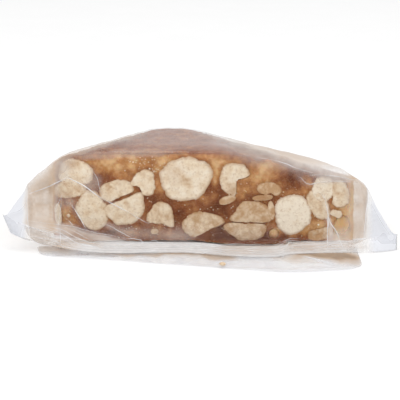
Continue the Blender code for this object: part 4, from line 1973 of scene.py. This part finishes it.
    def build_caramel(self, material: Material) -> Piece:
        """Builds the caramel block, recessed between the kernels, with the values for its glow."""
        block = self.prism(material)
        remesh = block.modifiers.new("fine", "REMESH")
        remesh.mode = "VOXEL"
        remesh.voxel_size = self.voxel * MM
        soft = block.modifiers.new("soft", "SMOOTH")
        soft.factor = 0.5
        soft.iterations = 2
        mesh = evaluated_mesh(block)
        block.data = mesh
        mesh.materials.clear()
        mesh.materials.append(material)
        points = self.setting.own(points_of(mesh))
        normals = points_of(mesh, "normal")
        lumps = roughness_at(points, 5.5, 1.0, 3)
        fine = roughness_at(points, 1.5, 2.0, 3)
        cut = rising(-normals[:, 1], 0.7, 0.2)
        depth = self.recess + 0.34 * lumps + 0.16 * fine
        glow = self.base_glow + 0.10 * lumps
        # Spots of painted shade are hollows of the cut side too.
        for spot in self.painted_light_spots:
            weight = spot.weights(points)
            glow += spot.amount * weight
            depth += 0.9 * max(-spot.amount, 0.0) * weight * cut
        glow += self.top_shade * rising(normals[:, 2], 0.5, 0.3)
        # Caramel climbs to each kernel's edge, has painted shade round it and makes room behind it.
        gap = np.min([placed.gap(points) for placed in self.layout()], axis=0)
        depth = depth * (1.0 - 0.6 * bell(gap, 0.7, 0.1))
        glow -= 0.10 * bell(gap, 0.5, 0.3)
        bed = rising(gap, -0.25, -0.6)
        depth = depth * (1.0 - bed) + self.bed_depth * bed
        # At its foot it has run out forwards, with painted shade darkening it there.
        low = rising(points[:, 1], 1.2, -0.6) * rising(points[:, 2], self.foot_run_height, -0.3)
        run = low * np.interp(points[:, 0], *zip(*self.foot_run))
        glow -= 0.12 * run
        sunk = points - normals * depth[:, None]
        sunk[:, 1] -= run
        moved = self.tucked(self.setting.placed(sunk), self.clearance + 0.15)
        mesh.vertices.foreach_set("co", moved.reshape(-1))
        grain = np.zeros(len(points))
        for spot in self.grain_spots:
            grain += spot.amount * spot.weights(points)
        carry(mesh, glow=glow, grain=grain)
        mesh.shade_smooth()
        mesh.update()
        return dressed(block)

    def kernel_mesh(self, placed: PlacedKernel) -> tuple[Array, list[tuple[int, ...]], Array, Array]:
        """Builds one kernel: its face, a rounded rim and a body that runs back into the caramel.

        Args:
            placed: The kernel in its place.

        Returns:
            Its points in millimetres, its faces, its tones and how much of the rim's colour each point has.
        """
        kernel, sides, seed = placed.kernel, placed.sides, placed.seed
        coated = kernel.kind is KernelKind.COATED
        reach = placed.reach()
        angle = np.linspace(0.0, 2.0 * math.pi, sides, endpoint=False)
        shallow = min(1.0, min(kernel.half_width, kernel.half_height) / 2.6)
        across, height, out, rim = [0.0], [0.0], [0.0], [0.0]
        for ring, (share, deep) in enumerate(KERNEL_RINGS):
            depth = deep * shallow
            if coated:
                depth += 0.9 * min(share, 1.0) ** 2
            across += list(np.cos(angle) * reach * share)
            height += list(np.sin(angle) * reach * share)
            out += [-depth] * sides
            rim_share = min(1.0, max(0.0, (share - RIM_START) / (1.0 - RIM_START)))
            rim += [rim_share if ring < FACE_RINGS else 1.0] * sides
        across.append(0.0)
        height.append(0.0)
        out.append(-KERNEL_DEPTH * shallow)
        rim.append(1.0)
        across, height, out, rim = (np.array(numbers) for numbers in (across, height, out, rim))
        local = np.column_stack((across, height, np.zeros(len(across))))
        on_face = np.arange(len(across)) < 1 + (FACE_RINGS - 1) * sides
        # The cut face is uneven, and its hollow is darker with painted shade.
        relief = 0.10 * roughness_at(local, 1.4, seed + 3.0, 3)
        relief = relief + 0.05 * roughness_at(local, 0.5, seed + 5.0, 2)
        dent = marked(kernel.hollow, across, height)
        out = out + np.where(on_face, relief - dent, 0.0)
        deepest = kernel.hollow[-1]
        shade = kernel.tone - 0.5 * dent / max(deepest, 0.01) * (deepest > 0.0)
        rim = np.maximum(rim, marked(kernel.smear, across, height) * 0.6)
        tone = shade + 0.16 * roughness_at(local, 4.5, seed + 8.0, 2)
        points = placed.face.placed(across + kernel.across, height + kernel.height, out, placed.origin)
        faces = [(0, 1 + j, 1 + (j + 1) % sides) for j in range(sides)]
        rings = len(KERNEL_RINGS)
        for i in range(rings - 1):
            faces += band(1 + i * sides, 1 + (i + 1) * sides, sides)
        last = 1 + (rings - 1) * sides
        end = len(across) - 1
        faces += [(last + j, end, last + (j + 1) % sides) for j in range(sides)]
        return points, faces, tone, rim

    def kernel_piece(self, name: str, placed: list[PlacedKernel], material: Material) -> Piece:
        """Joins kernels into one piece.

        Args:
            name: The piece's name.
            placed: The kernels in their places.
            material: Their finish.

        Returns:
            The piece.
        """
        points, faces, tones, rims = [], [], [], []
        total = 0
        for one in placed:
            spots, quads, tone, rim = self.kernel_mesh(one)
            points.append(spots)
            faces += [tuple(total + corner for corner in quad) for quad in quads]
            tones.append(tone)
            rims.append(rim)
            total += len(spots)
        joined = self.tucked(self.setting.placed(np.vstack(points)), self.clearance)
        tone, rim = np.concatenate(tones), np.concatenate(rims)
        glow = 0.54 - 0.20 * rim + 0.6 * tone
        piece = mesh_piece(name, joined, faces, material, tone=tone, rim=rim * 0.75, glow=glow)
        turned_outwards(piece)
        return dressed(piece)

    def top_at(self, x: float) -> float:
        """Returns the height of the cut side's top edge at one place."""
        return float(np.interp(x, *zip(*self.top_profile)))

    def scattered(self, face: Face, rng: random.Random, wanted: int) -> list[Kernel]:
        """Fills a slanted side with kernels that don't overlap.

        Args:
            face: The side.
            rng: The seeded source of chance.
            wanted: How many kernels to try for.

        Returns:
            The kernels.
        """
        kernels: list[Kernel] = []
        for _ in range(self.tries):
            if len(kernels) >= wanted:
                break
            half_width = rng.uniform(*self.side_widths)
            half_height = half_width * rng.uniform(*self.side_shapes)
            margin = half_width + self.corner_margin
            across = rng.uniform(margin, face.length() - margin)
            share = across / face.length()
            x = face.start[0] + (face.end[0] - face.start[0]) * share
            height = rng.uniform(half_height + 1.0, self.top_at(x) - 1.5 - half_height)
            apart = all(
                math.dist((across, height), (k.across, k.height)) > (half_width + k.half_width) * 0.86 + 0.3
                for k in kernels
            )
            if not apart:
                continue
            flat = rng.random() < self.flat_share
            flats = ((rng.uniform(0.0, 360.0), half_height * 0.8),) if flat else ()
            kind = KernelKind.COATED if rng.random() < self.coated_share else KernelKind.CUT
            tone = rng.uniform(*self.side_tones)
            lean = rng.uniform(-self.side_lean, self.side_lean)
            size = (half_width, half_height)
            kernels.append(Kernel("side", across, height, *size, lean, tone, flats, kind=kind))
        return kernels

    def layout(self) -> list[PlacedKernel]:
        """Returns every kernel in its place on the cut side and on the two slanted sides."""
        if not self.places:
            rng = random.Random(self.seed)
            cut_side, right_side, left_side = self.faces()
            middle = -self.corner_left[0]
            for number, kernel in enumerate(CUT_KERNELS):
                self.places.append(PlacedKernel(kernel, cut_side, middle, number + 1.0, self.cut_sides))
            for face in (right_side, left_side):
                for kernel in self.scattered(face, rng, self.side_kernels):
                    number = len(self.places) + 1.0
                    self.places.append(PlacedKernel(kernel, face, 0.0, number, self.side_sides))
        return self.places

    def build_kernels(self, peanut: Material, caramel: Material) -> list[Piece]:
        """Builds the kernels on the cut side and on the two slanted sides."""
        cut_side = self.faces()[0]
        pieces = []
        looks = ((KernelKind.CUT, peanut, "peanut"), (KernelKind.COATED, caramel, "caramel"))
        for kind, material, slot in looks:
            alike = [one for one in self.layout() if one.kernel.kind is kind]
            for name, in_front in (("front", True), ("side", False)):
                chosen = [one for one in alike if (one.face == cut_side) is in_front]
                pieces.append(self.kernel_piece(f"{name}_{kind.value}_kernels", chosen, material))
        return pieces

    def build_crumbs(self, material: Material) -> Piece:
        """Builds the small loose crumbs: one on the lip and pale specks on the cut side."""
        points, faces, tones = [], [], []
        for number, (middle, reach, tone) in enumerate(self.crumbs):
            ball = bmesh.new()
            bmesh.ops.create_icosphere(ball, subdivisions=3, radius=1.0)
            shape = np.array([tuple(vertex.co) for vertex in ball.verts])
            shape *= 1.0 + 0.22 * roughness_at(shape, 0.9, 31.0 + number, 2)[:, None]
            start = len(points)
            faces += [tuple(start + vertex.index for vertex in face.verts) for face in ball.faces]
            points += list(shape * np.array(reach) + np.array(middle))
            tones += [tone] * len(shape)
            ball.free()
        rim = np.zeros(len(points))
        placed = self.setting.placed(np.array(points))
        piece = mesh_piece("loose_crumbs", placed, faces, material, tone=np.array(tones), rim=rim)
        turned_outwards(piece)
        return dressed(piece)

    def build_grains(self, block: Piece, sugar: Material) -> Piece:
        """Scatters sugar grains and crumbs over the cut caramel."""
        values = {"Density": self.grain_density, "Size": self.grain_size, "Seed": self.grain_seed}
        grains = grown(block, grain_tree(), "sugar_grains", Material=sugar, **values)
        grains.data.shade_smooth()
        return dressed(grains)


# ---------------------------------------------------------------- studio


@dataclass(frozen=True)
class Studio:
    """A plain pale floor and soft light from all round.

    Args:
        floor_size: Side of the floor in metres.
        floor_height: Its height in metres.
        floor_colour: Its linear colour.
        world_strength: Strength of the white sky.
    """

    floor_size: float = 6.0
    floor_height: float = -0.0001
    floor_colour: Colour = (0.93, 0.93, 0.93)
    world_strength: float = 0.72

    def floor(self) -> Piece:
        """Makes the floor."""
        material, board = new_material("pale_floor")
        shade = tuple(channel * 0.99 for channel in self.floor_colour)
        colour = board.ramp(board.pattern(60.0), ((0.3, shade), (0.7, self.floor_colour)))
        board.coat({"Base Color": colour, "Roughness": 0.9, "Specular IOR Level": 0.1})
        half = self.floor_size / 2.0
        plan = ((-half, -half), (half, -half), (half, half), (-half, half))
        corners = np.array([(*corner, self.floor_height) for corner in plan])
        floor = mesh_piece("floor", corners, [(0, 1, 2, 3)], material)
        return floor

    def lamp(self, name: str, place: Triple, size: float, power: float) -> Piece:
        """Makes a square soft light that faces the brittle.

        Args:
            name: The light's name.
            place: Where it stands, in metres.
            size: Its side in metres.
            power: Its power in watts.

        Returns:
            The light.
        """
        data = bpy.data.lights.new(name, "AREA")
        data.shape = "SQUARE"
        data.size = size
        data.energy = power
        lamp = linked(name, data)
        lamp.location = place
        aim = Vector((0.0, 0.0, 0.01)) - Vector(place)
        lamp.rotation_euler = aim.to_track_quat("-Z", "Y").to_euler()
        return lamp

    def build(self) -> None:
        """Makes the floor, the lights and the sky, and sets plain colours."""
        self.floor()
        self.lamp("overhead", (0.05, 0.10, 1.00), size=0.7, power=3.8)
        self.lamp("key", (-0.45, -0.75, 0.75), size=0.4, power=2.0)
        self.lamp("fill", (0.70, -0.60, 0.50), size=0.5, power=0.6)
        world = bpy.data.worlds.new("studio")
        world.use_nodes = True
        sky = world.node_tree.nodes["Background"]
        sky.inputs["Color"].default_value = (1.0, 1.0, 1.0, 1.0)
        sky.inputs["Strength"].default_value = self.world_strength
        bpy.context.scene.world = world
        bpy.context.scene.view_settings.view_transform = "Standard"
        bpy.context.scene.view_settings.look = "None"


def main() -> None:
    """Builds the studio, the film and the brittle."""
    logging.basicConfig(level=logging.INFO, format="%(name)s %(message)s")
    setting = BrittleFrame.from_bag()
    view = FrontView(setting)
    view.camera()
    Studio().build()
    caramel = CaramelFinish().build()
    peanut = PeanutFinish().build()
    sugar = SugarFinish().build()
    clear_film = FilmFinish().build()
    creased = FilmFinish(name="creased_film", milk=(0.94, 0.94, 0.95), cool=(0.92, 0.93, 0.95), gloss=0.2)
    film = FilmTube(setting)
    film.build(view, clear_film)
    lip = SlackLip(setting)
    lip.build(view, clear_film)
    FilmRibs(setting, film, lip).build(view, creased.build())
    brittle = Brittle(setting, film)
    block = brittle.build_caramel(caramel)
    brittle.build_kernels(peanut, caramel)
    brittle.build_crumbs(peanut)
    brittle.build_grains(block, sugar)


if __name__ == "__main__":
    main()
